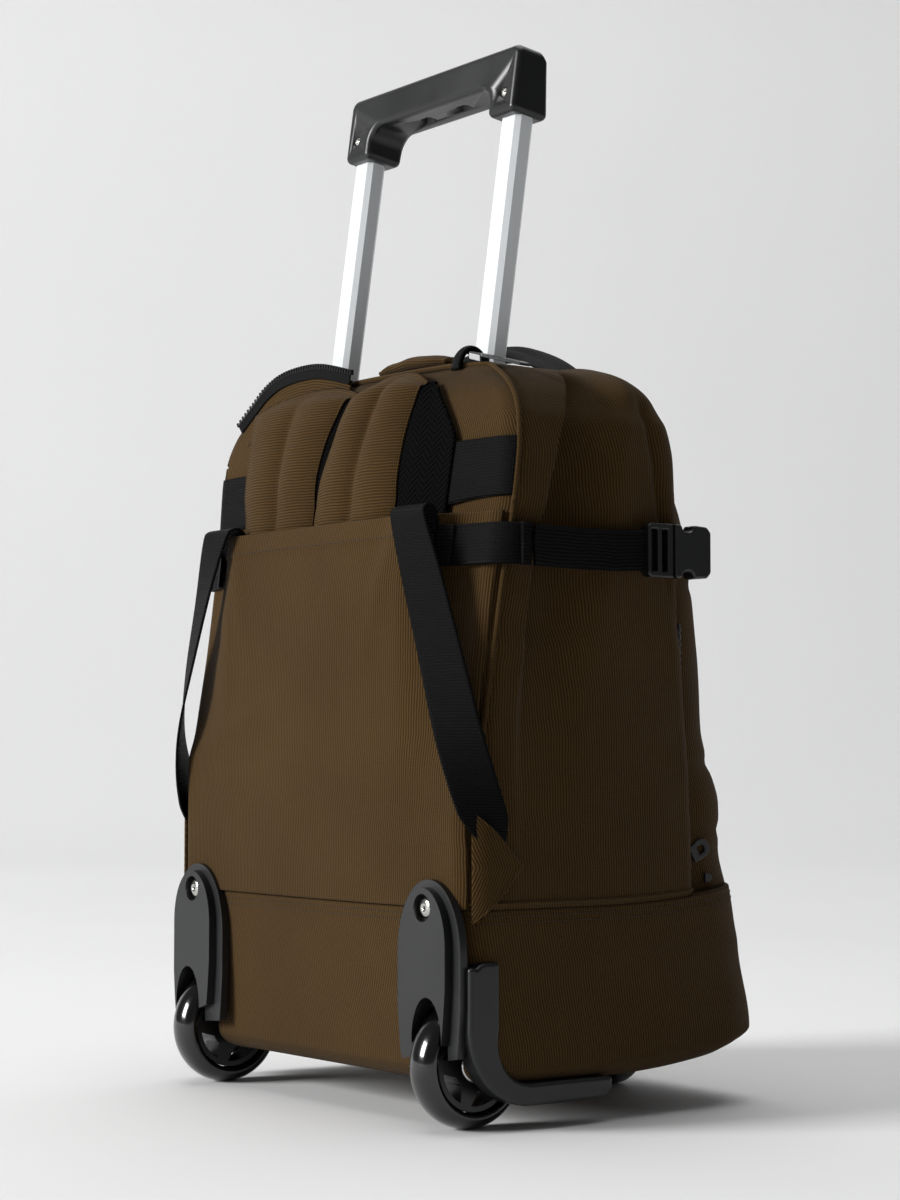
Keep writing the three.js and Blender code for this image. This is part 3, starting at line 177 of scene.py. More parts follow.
def normals(grid, around=False):
    """Unit normals of a grid of points: the cross product of its two central differences."""
    du = np.gradient(grid, axis=1)
    if around:
        du = (np.roll(grid, -1, axis=1) - np.roll(grid, 1, axis=1)) / 2
    n = np.cross(du, np.gradient(grid, axis=0))
    return n / (np.linalg.norm(n, axis=-1, keepdims=True) + 1e-12)


def waves(a, b, scale, seed, count=7):
    """Soft uneven relief from -1 to 1: a sum of sines of two coordinates in seeded directions."""
    random = np.random.default_rng(seed)
    total = np.zeros(np.broadcast(a, b).shape)
    for _ in range(count):
        turn, phase = random.uniform(0, 2 * np.pi), random.uniform(0, 2 * np.pi)
        size = random.uniform(0.6, 1.7)
        total += np.sin((a * np.cos(turn) + b * np.sin(turn)) * 2 * np.pi / (scale * size) + phase) / count
    return total * 2


def lengths(grid):
    """UV coordinates of a grid in metres: arc length across and along, measured on the surface."""
    across = np.linalg.norm(np.diff(grid, axis=1), axis=-1)
    along = np.linalg.norm(np.diff(grid, axis=0), axis=-1)
    u = np.concatenate([np.zeros((grid.shape[0], 1)), np.cumsum(across, 1)], 1)
    v = np.concatenate([np.zeros((1, grid.shape[1])), np.cumsum(along, 0)], 0)
    return np.stack([u - u[:, -1:] / 2, np.repeat(v.mean(1)[:, None], grid.shape[1], 1)], -1) / 1000


def place(points):
    """Working millimetres to the frame's metres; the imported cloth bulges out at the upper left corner."""
    points = np.array(points, float)
    x, y, z = points[..., 0], points[..., 1], points[..., 2]
    points[..., 0] -= 12 * smooth(-x, 60, 150) * bump(z, 405, 62) * (1 - smooth(y, 40, 105))
    return (points + SHIFT) / 1000


def reshape(piece, change):
    """Moves a piece's points by a function of their working coordinates."""
    points = np.empty(len(piece.data.vertices) * 3, np.float32)
    piece.data.vertices.foreach_get("co", points)
    points = change(points.reshape(-1, 3).astype(float) * 1000 - SHIFT)
    piece.data.vertices.foreach_set("co", ((points + SHIFT) / 1000).astype(np.float32).ravel())
    piece.data.update()
    return piece


def add_mesh(name, vertices, faces, uv=None, material=None, smooth_faces=True):
    """A new object from working-frame points and faces; uv holds one pair for each face corner."""
    mesh = bpy.data.meshes.new(name)
    mesh.from_pydata(place(vertices).tolist(), [], [list(map(int, f)) for f in faces])
    if uv is not None:
        layer = mesh.uv_layers.new(name="surface")
        layer.data.foreach_set("uv", np.asarray(uv, np.float32).ravel())
    mesh.polygons.foreach_set("use_smooth", np.full(len(mesh.polygons), smooth_faces))
    mesh.update()
    piece = bpy.data.objects.new(name, mesh)
    bpy.context.scene.collection.objects.link(piece)
    if material:
        mesh.materials.append(material)
    return piece


def grid_faces(rows, columns, around):
    """Quads of a grid, with the last column joined to the first where the grid goes around."""
    wide = columns if around else columns - 1
    r, c = np.meshgrid(np.arange(rows - 1), np.arange(wide), indexing="ij")
    following = (c + 1) % columns
    quads = np.stack([r * columns + c, r * columns + following,
                      (r + 1) * columns + following, (r + 1) * columns + c], -1)
    return quads.reshape(-1, 4)


def sheet_piece(name, grid, material, thickness=0.0, uv=None):
    """An open grid as a surface; with a thickness, a closed slab from the grid down against its normals."""
    rows, columns = grid.shape[:2]
    uv = lengths(grid) if uv is None else uv
    faces = grid_faces(rows, columns, False)
    corners = uv.reshape(-1, 2)
    if thickness == 0:
        return add_mesh(name, grid.reshape(-1, 3), faces, corners[faces.ravel()], material)
    back = grid - normals(grid) * thickness
    size = rows * columns
    points = np.vstack([grid.reshape(-1, 3), back.reshape(-1, 3)])
    index = np.arange(size).reshape(rows, columns)
    edge = np.concatenate([index[0, :-1], index[:-1, -1], index[-1, :0:-1], index[:0:-1, 0]])
    ahead = np.roll(edge, -1)
    rim = np.stack([edge, edge + size, ahead + size, ahead], -1)
    quads = np.vstack([faces, faces[:, ::-1] + size, rim])
    corners = np.vstack([corners, corners])
    return add_mesh(name, points, quads, corners[quads.ravel()], material)


def shell_piece(name, grid, material, uv=None):
    """A grid that goes around, closed at both ends by fans round the end rows' middles."""
    rows, columns = grid.shape[:2]
    uv = lengths(grid) if uv is None else uv
    quads = grid_faces(rows, columns, True)
    step = np.linalg.norm(grid[:, -1] - grid[:, 0], axis=-1) / 1000
    wrapped = np.concatenate([uv, (uv[:, -1:] + np.stack([step, 0 * step], -1)[:, None])], 1)
    r, c = np.divmod(np.arange((rows - 1) * columns), columns)
    quad_uv = np.stack([wrapped[r, c], wrapped[r, c + 1], wrapped[r + 1, c + 1], wrapped[r + 1, c]], 1)
    points = [grid.reshape(-1, 3), grid[0].mean(0)[None], grid[-1].mean(0)[None]]
    size = rows * columns
    around = np.arange(columns)
    ahead = (around + 1) % columns
    last = (rows - 1) * columns
    low = np.stack([np.full(columns, size), ahead, around], -1)
    high = np.stack([np.full(columns, size + 1), last + around, last + ahead], -1)
    fans = np.vstack([low, high])
    every = np.vstack(points)
    fan_uv = every[fans][..., :2] / 1000
    faces = [*quads.tolist(), *fans.tolist()]
    corners = np.vstack([quad_uv.reshape(-1, 2), fan_uv.reshape(-1, 2)])
    return add_mesh(name, every, faces, corners, material)


def tube_piece(name, line, radius, material, sides=10, squeeze=1.0, up=(0.0, 0.0, 1.0)):
    """A round or oval cord along a line: a circle carried along it, with closed ends."""
    line = np.asarray(line, float)
    ahead = np.gradient(line, axis=0)
    ahead /= np.linalg.norm(ahead, axis=1, keepdims=True) + 1e-12
    side = np.cross(ahead, np.asarray(up, float))
    weak = np.linalg.norm(side, axis=1) < 0.15
    side[weak] = np.cross(ahead[weak], (1.0, 0.0, 0.0))
    side /= np.linalg.norm(side, axis=1, keepdims=True)
    top = np.cross(side, ahead)
    a = np.linspace(0, 2 * np.pi, sides, endpoint=False)
    radius = np.broadcast_to(np.asarray(radius, float), len(line))[:, None, None]
    grid = line[:, None] + radius * (np.cos(a)[None, :, None] * side[:, None]
                                     + squeeze * np.sin(a)[None, :, None] * top[:, None])
    return shell_piece(name, grid[:, ::-1], material)


def strip_grid(line, across, width, count=9, crown=0.0, normal=None):
    """A flat band's surface: rows along the line, columns across it, crowned along its normal."""
    line = np.asarray(line, float)
    across = np.asarray(across, float)
    across = across / np.linalg.norm(across, axis=1, keepdims=True)
    u = np.linspace(-0.5, 0.5, count)
    grid = line[:, None] + across[:, None] * (u * width)[None, :, None]
    if crown:
        grid = grid + normal[:, None] * (crown * (1 - (2 * u) ** 2))[None, :, None]
    return grid


def turned(name, profile, material, axis="x", centre=(0, 0, 0), sides=96):
    """A closed profile of radius and offset turned about an axis: r cos a, r sin a, offset."""
    profile = np.asarray(profile, float)
    a = np.linspace(0, 2 * np.pi, sides, endpoint=False)
    radius, offset = profile[:, 0][None, :], profile[:, 1][None, :]
    ring = (radius * np.cos(a)[:, None], radius * np.sin(a)[:, None], offset + 0 * a[:, None])
    order = {"x": (2, 0, 1), "y": (0, 2, 1), "z": (0, 1, 2)}[axis]
    grid = np.stack([ring[i] for i in order], -1) + np.asarray(centre, float)
    rows, columns = grid.shape[:2]
    r, c = np.meshgrid(np.arange(rows), np.arange(columns), indexing="ij")
    quads = np.stack([r * columns + c, ((r + 1) % rows) * columns + c,
                      ((r + 1) % rows) * columns + (c + 1) % columns, r * columns + (c + 1) % columns], -1)
    return outward(add_mesh(name, grid.reshape(-1, 3), quads.reshape(-1, 4), None, material))


def plug(radius, low, high):
    """The profile of a round cutter from low to high along its axis."""
    return [(0.01, low), (radius, low), (radius, high), (0.01, high)]


def arc_points(centre, radius, start, end, count, endpoint=True):
    """Points of an arc in a plane, from one angle to another."""
    return [(centre[0] + radius * math.cos(t), centre[1] + radius * math.sin(t))
            for t in np.linspace(start, end, count, endpoint=endpoint)]


def refinish(name, material):
    """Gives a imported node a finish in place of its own."""
    mesh = bpy.data.objects[name].data
    mesh.materials.clear()
    mesh.materials.append(material)


def outward(piece):
    """Merges doubles and turns a closed mesh's faces outwards."""
    work = bmesh.new()
    work.from_mesh(piece.data)
    bmesh.ops.remove_doubles(work, verts=work.verts, dist=1e-6)
    bmesh.ops.recalc_face_normals(work, faces=work.faces)
    work.to_mesh(piece.data)
    work.free()
    return piece


def prism(name, outline, low, high, material, axis="y", holes=(), bevel=0.0, segments=3):
    """An outline with holes, drawn in the two other axes, extruded along one axis, with rounded edges."""
    work = bmesh.new()
    order = {"x": lambda a, b, c: (c, a, b), "y": lambda a, b, c: (a, c, b), "z": lambda a, b,
             c: (a, b, c)}[axis]
    edges = []
    for loop in (outline, *holes):
        ring = [work.verts.new(place([order(a, b, low)])[0]) for a, b in loop]
        edges += [work.edges.new((ring[i], ring[(i + 1) % len(ring)])) for i in range(len(ring))]
    bmesh.ops.triangle_fill(work, edges=edges, use_beauty=True, use_dissolve=False)
    bmesh.ops.dissolve_limit(work, angle_limit=0.01, verts=work.verts, edges=work.edges)
    faces = list(work.faces)
    done = bmesh.ops.extrude_face_region(work, geom=faces)
    move = place([order(0, 0, high)])[0] - place([order(0, 0, low)])[0]
    verts = [v for v in done["geom"] if isinstance(v, bmesh.types.BMVert)]
    bmesh.ops.translate(work, verts=verts, vec=move.tolist())
    bmesh.ops.recalc_face_normals(work, faces=work.faces)
    mesh = bpy.data.meshes.new(name)
    work.to_mesh(mesh)
    work.free()
    mesh.polygons.foreach_set("use_smooth", np.full(len(mesh.polygons), True))
    piece = bpy.data.objects.new(name, mesh)
    bpy.context.scene.collection.objects.link(piece)
    mesh.materials.append(material)
    if bevel:
        edge = piece.modifiers.new("rounded edges", "BEVEL")
        edge.width = bevel / 1000
        edge.segments = segments
        edge.limit_method = "ANGLE"
        edge.angle_limit = math.radians(35)
        edge.harden_normals = True
    return piece


def cut(piece, cutter):
    """Takes the cutter's space out of a piece, for good, and deletes the cutter."""
    modifier = piece.modifiers.new("cut", "BOOLEAN")
    modifier.operation = "DIFFERENCE"
    modifier.object = cutter
    modifier.solver = "EXACT"
    apply_modifiers(piece)
    bpy.data.objects.remove(cutter)


def apply_modifiers(piece):
    """Makes a piece's modifiers final in its mesh."""
    graph = bpy.context.evaluated_depsgraph_get()
    final = bpy.data.meshes.new_from_object(piece.evaluated_get(graph))
    piece.modifiers.clear()
    piece.data = final


def join(name, pieces):
    """Joins objects into the first and names it."""
    for piece in pieces:
        apply_modifiers(piece)
    with bpy.context.temp_override(active_object=pieces[0], selected_editable_objects=pieces,
                                   selected_objects=pieces):
        bpy.ops.object.join()
    pieces[0].name = name
    return pieces[0]


def wear(piece, slot, body="bag", *nodes):
    """Rides a piece on its body and hides the nodes it stands for. The slot is not used."""
    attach(piece, body)
    if nodes:
        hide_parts(*nodes)
    return piece


# Materials

def material(name):
    """An empty node material with its shader; returns the material, its tree and the shader."""
    found = bpy.data.materials.new(name)
    found.use_nodes = True
    return found, found.node_tree, found.node_tree.nodes["Principled BSDF"]


def node(tree, kind, settings=None, links=None):
    """Adds a node, with values for its attributes or inputs, and links from sockets to its inputs.

    A colour ramp's setting "stops" holds the places and colours of its two stops.
    """
    made = tree.nodes.new(kind)
    for key, value in (settings or {}).items():
        if key == "stops":
            for element, (position, colour) in zip(made.color_ramp.elements, value):
                element.position = position
                element.color = colour
        elif isinstance(key, int) or key in made.inputs:
            made.inputs[key].default_value = value
        else:
            setattr(made, key, value)
    for key, source in (links or {}).items():
        tree.links.new(source, made.inputs[key])
    return made


def woven(name, light, dark, rib_mm, yarn_mm, roughness, sheen, depth, along="v", tint=0.12):
    """A ribbed plain weave: ribs across the piece every rib_mm, with yarns every yarn_mm along each rib."""
    made, tree, shader = material(name)
    uv = node(tree, "ShaderNodeUVMap", {"uv_map": "surface"})
    parts = node(tree, "ShaderNodeSeparateXYZ", links={"Vector": uv.outputs["UV"]})
    wobble = node(tree, "ShaderNodeTexNoise", {"Scale": 55.0, "Detail": 2.0}, {"Vector": uv.outputs["UV"]})
    ribs_from, yarns_from = ("Y", "X") if along == "v" else ("X", "Y")

    def wave(axis, pitch, amount):
        turns = node(tree, "ShaderNodeMath", {"operation": "MULTIPLY", 1: 2 * math.pi / (pitch / 1000)},
                     {0: parts.outputs[axis]})
        moved = node(tree, "ShaderNodeMath", {"operation": "MULTIPLY_ADD", 1: amount},
                     {0: wobble.outputs["Fac"], 2: turns.outputs[0]})
        return node(tree, "ShaderNodeMath", {"operation": "SINE"}, {0: moved.outputs[0]}).outputs[0]

    rib = wave(ribs_from, rib_mm, 7.0)
    yarn = wave(yarns_from, yarn_mm, 3.0)
    weave = node(tree, "ShaderNodeMath", {"operation": "MULTIPLY_ADD", 1: 0.35}, {0: yarn, 2: rib})
    level = node(tree, "ShaderNodeMapRange", {"From Min": -1.35, "From Max": 1.35},
                 {"Value": weave.outputs[0]})
    spot = node(tree, "ShaderNodeTexCoord")
    patch = node(tree, "ShaderNodeTexNoise", {"Scale": 9.0, "Detail": 6.0, "Roughness": 0.6},
                 {"Vector": spot.outputs["Object"]})
    base = node(tree, "ShaderNodeValToRGB", {"stops": [(0.1, srgb(dark)), (0.8, srgb(light))]},
                {"Fac": level.outputs[0]})
    shade = node(tree, "ShaderNodeMapRange",
                 {"From Min": 0.3, "From Max": 0.7, "To Min": 1 - tint, "To Max": 1 + tint},
                 {"Value": patch.outputs["Fac"]})
    final = node(tree, "ShaderNodeVectorMath", {"operation": "SCALE"},
                 {0: base.outputs["Color"], "Scale": shade.outputs[0]})
    tree.links.new(final.outputs[0], shader.inputs["Base Color"])
    relief = node(tree, "ShaderNodeBump", {"Strength": 0.9, "Distance": depth / 1000},
                  {"Height": level.outputs[0]})
    tree.links.new(relief.outputs["Normal"], shader.inputs["Normal"])
    shader.inputs["Roughness"].default_value = roughness
    shader.inputs["Sheen Weight"].default_value = sheen
    shader.inputs["Sheen Roughness"].default_value = 0.55
    shader.inputs["Specular IOR Level"].default_value = 0.08
    return made


def moulded(name, colour, roughness, grain_mm, depth, coat=0.0, spread=0.06):
    """Moulded plastic: one colour, with a fine grain of the mould's texture and slightly uneven gloss."""
    made, tree, shader = material(name)
    spot = node(tree, "ShaderNodeTexCoord")
    grain = node(tree, "ShaderNodeTexNoise", {"Scale": 1000.0 / grain_mm, "Detail": 3.0},
                 {"Vector": spot.outputs["Object"]})
    cloud = node(tree, "ShaderNodeTexNoise", {"Scale": 14.0, "Detail": 4.0},
                 {"Vector": spot.outputs["Object"]})
    low = srgb(colour)
    high = (*[c * 1.35 for c in low[:3]], 1.0)
    tone = node(tree, "ShaderNodeValToRGB", {"stops": [(0.35, low), (0.75, high)]}, {"Fac": cloud.outputs["Fac"]})
    tree.links.new(tone.outputs["Color"], shader.inputs["Base Color"])
    gloss = node(tree, "ShaderNodeMapRange",
                 {"From Min": 0.3, "From Max": 0.7, "To Min": roughness - spread,
                  "To Max": roughness + spread},
                 {"Value": cloud.outputs["Fac"]})
    tree.links.new(gloss.outputs[0], shader.inputs["Roughness"])
    relief = node(tree, "ShaderNodeBump", {"Strength": 0.4, "Distance": depth / 1000},
                  {"Height": grain.outputs["Fac"]})
    tree.links.new(relief.outputs["Normal"], shader.inputs["Normal"])
    shader.inputs["Coat Weight"].default_value = coat
    shader.inputs["Coat Roughness"].default_value = 0.08
    return made


def metal(name, colour, roughness, streak=(1.0, 1.0, 1.0), depth=0.01, metallic=1.0):
    """Bare or anodised metal, with fine streaks drawn out along the part."""
    made, tree, shader = material(name)
    spot = node(tree, "ShaderNodeTexCoord")
    stretch = node(tree, "ShaderNodeMapping", {"Scale": streak}, {"Vector": spot.outputs["Object"]})
    lines = node(tree, "ShaderNodeTexNoise", {"Scale": 900.0, "Detail": 4.0},
                 {"Vector": stretch.outputs["Vector"]})
    low = srgb(colour)
    high = (*[min(c * 1.05, 1) for c in low[:3]], 1.0)
    tone = node(tree, "ShaderNodeValToRGB", {"stops": [(0.3, low), (0.7, high)]}, {"Fac": lines.outputs["Fac"]})
    tree.links.new(tone.outputs["Color"], shader.inputs["Base Color"])
    shader.inputs["Metallic"].default_value = metallic
    gloss = node(tree, "ShaderNodeMapRange", {"From Min": 0.3, "From Max": 0.7, "To Min": roughness * 0.97,
                                              "To Max": roughness * 1.03}, {"Value": lines.outputs["Fac"]})
    tree.links.new(gloss.outputs[0], shader.inputs["Roughness"])
    relief = node(tree, "ShaderNodeBump", {"Strength": 0.05, "Distance": depth / 1000},
                  {"Height": lines.outputs["Fac"]})
    tree.links.new(relief.outputs["Normal"], shader.inputs["Normal"])
    return made


def air_mesh_painted_shade(name):
    """Black spacer mesh with a chevron knit: zigzag ribs every 4 mm. Its near-black colour is partly the mesh's
    own black and partly painted shade of the dark gap under and beside the straps.
    """
    made, tree, shader = material(name)
    uv = node(tree, "ShaderNodeUVMap", {"uv_map": "surface"})
    parts = node(tree, "ShaderNodeSeparateXYZ", links={"Vector": uv.outputs["UV"]})
    fold = node(tree, "ShaderNodeMath", {"operation": "PINGPONG", 1: 0.006}, {0: parts.outputs["X"]})
    slant = node(tree, "ShaderNodeMath", {"operation": "ADD"}, {0: fold.outputs[0], 1: parts.outputs["Y"]})
    turns = node(tree, "ShaderNodeMath", {"operation": "MULTIPLY", 1: 2 * math.pi / 0.004},
                 {0: slant.outputs[0]})
    knit = node(tree, "ShaderNodeMath", {"operation": "SINE"}, {0: turns.outputs[0]})
    level = node(tree, "ShaderNodeMapRange", {"From Min": -1.0, "From Max": 1.0},
                 {"Value": knit.outputs[0]})
    # Near-black ramp: the mesh's own black, darkened further as painted shade
    colour = node(tree, "ShaderNodeValToRGB", {"stops": [(0.2, srgb("#020202")), (0.9, srgb("#060606"))]},
                  {"Fac": level.outputs[0]})
    tree.links.new(colour.outputs["Color"], shader.inputs["Base Color"])
    relief = node(tree, "ShaderNodeBump", {"Strength": 0.9, "Distance": 0.0009},
                  {"Height": level.outputs[0]})
    tree.links.new(relief.outputs["Normal"], shader.inputs["Normal"])
    shader.inputs["Roughness"].default_value = 0.9
    shader.inputs["Specular IOR Level"].default_value = 0.06
    return made


MATERIALS = {}


def make_materials(settings):
    """All finishes of the bag, kept by the names of what they are made of."""
    light, dark = settings.cloth_light, settings.cloth_dark
    MATERIALS.update({
        # Ribbed polyester canvas: matt, with fine cross ribs. Its ribs are about 1 mm on the real
        # bag and drawn at 1.9 mm, because finer ones don't show in the render.
        "cloth": woven("ribbed polyester canvas", light, dark, settings.rib_pitch, 1.3, 0.9, 0.04, 0.4,
                       "u"),
        "padded": woven("cross-ribbed polyester canvas", light, dark, settings.rib_pitch, 1.3, 0.9, 0.04,
                        0.5),
        # The lighter folded edges and piping, cut on the bias
        "bias": woven("canvas bias binding", light, dark, 1.3, 1.9, 0.9, 0.04, 0.3),
        # Polyester webbing: dense black yarns with a slight shine on top of each rib
        "webbing": woven("ribbed polyester webbing", "#080808", "#020202", 1.9, 1.3, 0.6, 0.0, 0.5,
                         tint=0.08),
        # Side-strap webbing with its ribs along the length
        "strap": woven("lengthwise ribbed webbing", "#080808", "#020202", 2.1, 1.5, 0.6, 0.0, 0.5, "u",
                       tint=0.08),
        "tape": woven("woven zip tape", "#0d0d0e", "#070707", 1.2, 1.2, 0.8, 0.02, 0.2, tint=0.05),
        # Black spacer mesh, darkened with painted shade of the gap under the straps
        "mesh": air_mesh_painted_shade("black spacer mesh with painted shade"),
        "thread": moulded("polyester thread", "#2a2013", 0.8, 0.6, 0.05),
        # Satin ABS of the grip, housings and rails
        "plastic": moulded("satin moulded ABS", "#0f1011", 0.36, 0.5, 0.03),
        "buckle": moulded("moulded acetal buckle", "#0f1010", 0.33, 0.7, 0.02),
        "zip": moulded("moulded zip teeth", "#111213", 0.3, 0.6, 0.02),
        # Polyurethane tread, polished by its mould
        "tyre": moulded("glossy polyurethane tread", "#060607", 0.16, 2.0, 0.0, 0.6, 0.03),
        "core": moulded("moulded nylon wheel core", "#0b0c0d", 0.3, 0.8, 0.02),
        "steel": metal("nickel-plated steel", "#b9b8b2", 0.2),
        "chrome": metal("polished bearing steel", "#c8c8c8", 0.12),
        # Clear-anodised extrusion, with fine lines drawn out along the tube
        "aluminium": metal("clear-anodised aluminium", "#dfe2e4", 0.3, (1.0, 1.0, 0.02), 0.002, 0.2),
    })


# Forms of the bag. Columns: rise, back, front, round, valley, corner, crown, belly.

BODY_SECTIONS = [
    (0.0, 0.0, 0.0, 0.0, 0.0, 13, 3, 3), (0.2, 0.0, 0.3, 0.0, 0.0, 13, 4, 4),
    (0.34, 0.2, 0.5, 0.0, 0.1, 14, 6, 4),
    (0.46, 0.4, 0.75, 0.0, 0.5, 16, 8, 4), (0.57, 0.57, 0.95, 0.0, 0.85, 18, 10, 3),
    (0.71, 0.82, 1.0, 0.0, 1.0, 22, 14, 3), (0.81, 0.95, 1.0, 0.0, 1.0, 26, 16, 3),
    (0.875, 1.0, 1.2, 0.05, 0.95, 28, 14, 3), (0.92, 1.05, 1.6, 0.22, 0.8, 28, 11, 2),
    (0.955, 1.1, 2.0, 0.53, 0.5, 28, 8, 2), (0.98, 1.2, 2.5, 0.95, 0.25, 28, 5, 1),
    (0.994, 1.35, 3.2, 1.4, 0.1, 28, 3, 0), (1.0, 1.6, 4.2, 1.9, 0.0, 26, 2, 0),
]
# Where the side valley starts and ends, by height: z, near edge, far edge, depth
VALLEY = [
    (129, 14, 44, 0.0), (210, 14, 46, 2.0), (250, 15, 48, 5.0), (281, 20, 54, 10.0), (322, 28, 64, 17.0),
    (361, 35, 72, 23.0), (400, 46, 78, 27.0), (434, 62, 86, 27.0), (452, 74, 94, 22.0), (461, 80, 98, 12.0),
]
BASE_SECTIONS = [(0.0, 1.0, 1.0, 0.0), (0.04, 0.35, 1.0, 0.0), (0.1, 0.0, 1.0, 0.0), (0.5, 0.0, 0.5, 0.45),
                 (1.0, 0.0, 0.0, 1.0)]
POCKET_SECTIONS = [
    (0.0, 0.0, 0.0), (0.1, 0.22, 0.0), (0.2, 0.22, 0.0), (0.29, 0.4, 0.0), (0.39, 0.56, 0.05),
    (0.55, 0.58, 0.1),
    (0.7, 0.74, 0.15), (0.85, 0.88, 0.25), (0.94, 1.0, 0.45), (0.98, 1.15, 0.8), (1.0, 1.45, 1.4),
]


def body_plan(rise):
    """Half width, back, front and roundings of the body at a rise from seam to top."""
    row = curve(BODY_SECTIONS, rise)
    drawn = row[..., 2] * TOP_ROUNDING
    return {
        "half": HALF_WIDTH - drawn,
        "back": BACK_AT_SEAM + row[..., 0] * BACK_SETBACK,
        "front": BACK_AT_SEAM + BODY_DEPTH - row[..., 1] * FRONT_SETBACK - drawn * 0.4,
        "back_corner": BACK_CORNER + 0 * drawn,
        "front_corner": row[..., 4],
        "back_crown": 4 + 2 * np.clip(rise, 0, 0.9),
        "front_crown": row[..., 5],
        "side_crown": row[..., 6],
    }


def outline(plan, counts=(60, 10, 90, 20, 60)):
    """Points in X and Y round a plan: crowned sides a + c cos, and quarter-round corners."""
    p = {key: np.atleast_1d(value)[:, None] for key, value in plan.items()}
    back_n, turn_n, side_n, round_n, front_n = counts
    half, back, front = p["half"], p["back"], p["front"]
    small, large = p["back_corner"], p["front_corner"]

    def crown(u):
        return np.cos(np.pi / 2 * (2 * u - 1))

    u = np.linspace(0, 1, back_n, endpoint=False)[None]
    one = [(-half + small) + (2 * half - 2 * small) * u, back - p["back_crown"] * crown(u)]
    a = np.linspace(0, np.pi / 2, turn_n, endpoint=False)[None]
    two = [half - small + small * np.sin(a), back + small * (1 - np.cos(a))]
    u = np.linspace(0, 1, side_n, endpoint=False)[None]
    three = [half + p["side_crown"] * crown(u), back + small + (front - large - back - small) * u]
    a = np.linspace(0, np.pi / 2, round_n, endpoint=False)[None]
    four = [half - large * (1 - np.cos(a)), front - large * (1 - np.sin(a))]
    u = np.linspace(0, 1, front_n + 1)[None]
    five = [(half - large) * (1 - 2 * u), front + p["front_crown"] * crown(u)]
    right = [np.concatenate(pair, 1) for pair in zip(two, three, four)]
    left = [-right[0][:, :0:-1], right[1][:, :0:-1]]
    x, y = (np.concatenate(parts, 1) for parts in zip(one, right, five, left))
    return x, y


def seam(y):
    """The side seam's height: it rises as a square towards the front."""
    return BASE_TOP + SEAM_RISE * np.clip((y - 80) / 130, 0, 1) ** 2


def underside(y):
    """The base's underside: it rises as a square towards the front."""
    return BASE_BOTTOM + BASE_FRONT_RISE * np.clip((y - 90) / 110, 0, 1) ** 2


def back_at(x, z):
    """The body's back surface at a place across and a height."""
    plan = body_plan((np.asarray(z, float) - BASE_TOP) / (BAG_TOP - BASE_TOP))
    flat = plan["half"] - BACK_CORNER
    beyond = np.clip(np.abs(x) - flat, 0, BACK_CORNER * 0.98)
    crown = plan["back_crown"] * np.cos(np.pi / 2 * np.clip(x / flat, -1, 1))
    return plan["back"] - crown + BACK_CORNER - np.sqrt(BACK_CORNER**2 - beyond**2)


def close_up(grid, steps, lift, floor=None):
    """Rows that draw the last ring in to its middle line, lifted by a bow: (1 - w) ring + w middle."""
    ring = grid[-1]
    middle = ring.copy()
    middle[:, 0] *= 0.02
    middle[:, 1] = ring[:, 1].mean() + (ring[:, 1] - ring[:, 1].mean()) * 0.02
    w = np.linspace(0, 1, steps + 1)[1:][:, None, None]
    rows = ring[None] * (1 - w) + middle[None] * w
    rows[..., 2] = ring[None, :, 2] + lift * np.sin(w[..., 0] * np.pi / 2)
    if floor is not None:
        rows[..., 2] = floor(rows[..., 1])
    return np.concatenate([grid, rows])


def body_grid(rows=190):
    """The body's surface with its valleys, cinched sides, creases and soft unevenness."""
    s = np.linspace(0, 1, rows)
    rise = 1 - (1 - s) ** 1.5
    x, y = outline(body_plan(rise))
    z = seam(y) + (BAG_TOP - seam(y)) * rise[:, None]
    side = smooth(np.abs(x), 120, 158) * smooth(y, BACK_AT_SEAM + 10, BACK_AT_SEAM + 40)
    near, far, depth = np.moveaxis(curve(VALLEY, z), -1, 0)
    near = near + 2 * waves(z, z * 0, 70, 3)
    dent = depth * smooth(y, near - 1, near + 7) * (1 - smooth(y, far - 18, far + 24))
    # The strap pulls the side in a little along its run
    cinch = 2.2 * bump(z, COMPRESSION_HEIGHT, 16) * (1 - smooth(y, 90, 120))
    crease = 3.2 * bump(y, 124 + 0.16 * (394 - z), 3.2) * smooth(z, 300, 350) * (1 - smooth(z, 425, 445))
    swell = 2.6 * bump(y, 136 + 0.12 * (394 - z), 9) * smooth(z, 300, 360) * (1 - smooth(z, 435, 458))
    # The front compartment's shoulder is squarer than the back's
    shoulder = smooth(y, 92, 112) * (1 - smooth(y, 150, 172)) * smooth(z, 425, 452)
    inward = (dent + cinch + crease - swell - 9 * shoulder) * side
    z = z + 5 * shoulder * smooth(np.abs(x), 60, 110)
    x = x - np.sign(x) * inward
    grid = np.stack([x, y, z], -1)
    soft = 0.9 * waves(grid[..., 1] + grid[..., 0] * 0.4, z, 120, 11) + 0.35 * waves(y, z, 34, 12)
    soft *= smooth(rise, 0.02, 0.12)[:, None] * (1 - 0.8 * bump(z, COMPRESSION_HEIGHT, 16))
    back_face = bump(y, BACK_AT_SEAM, 30) * (np.abs(x) < 150)
    return grid + normals(grid, True) * (soft * (1 - 0.8 * back_face))[..., None]


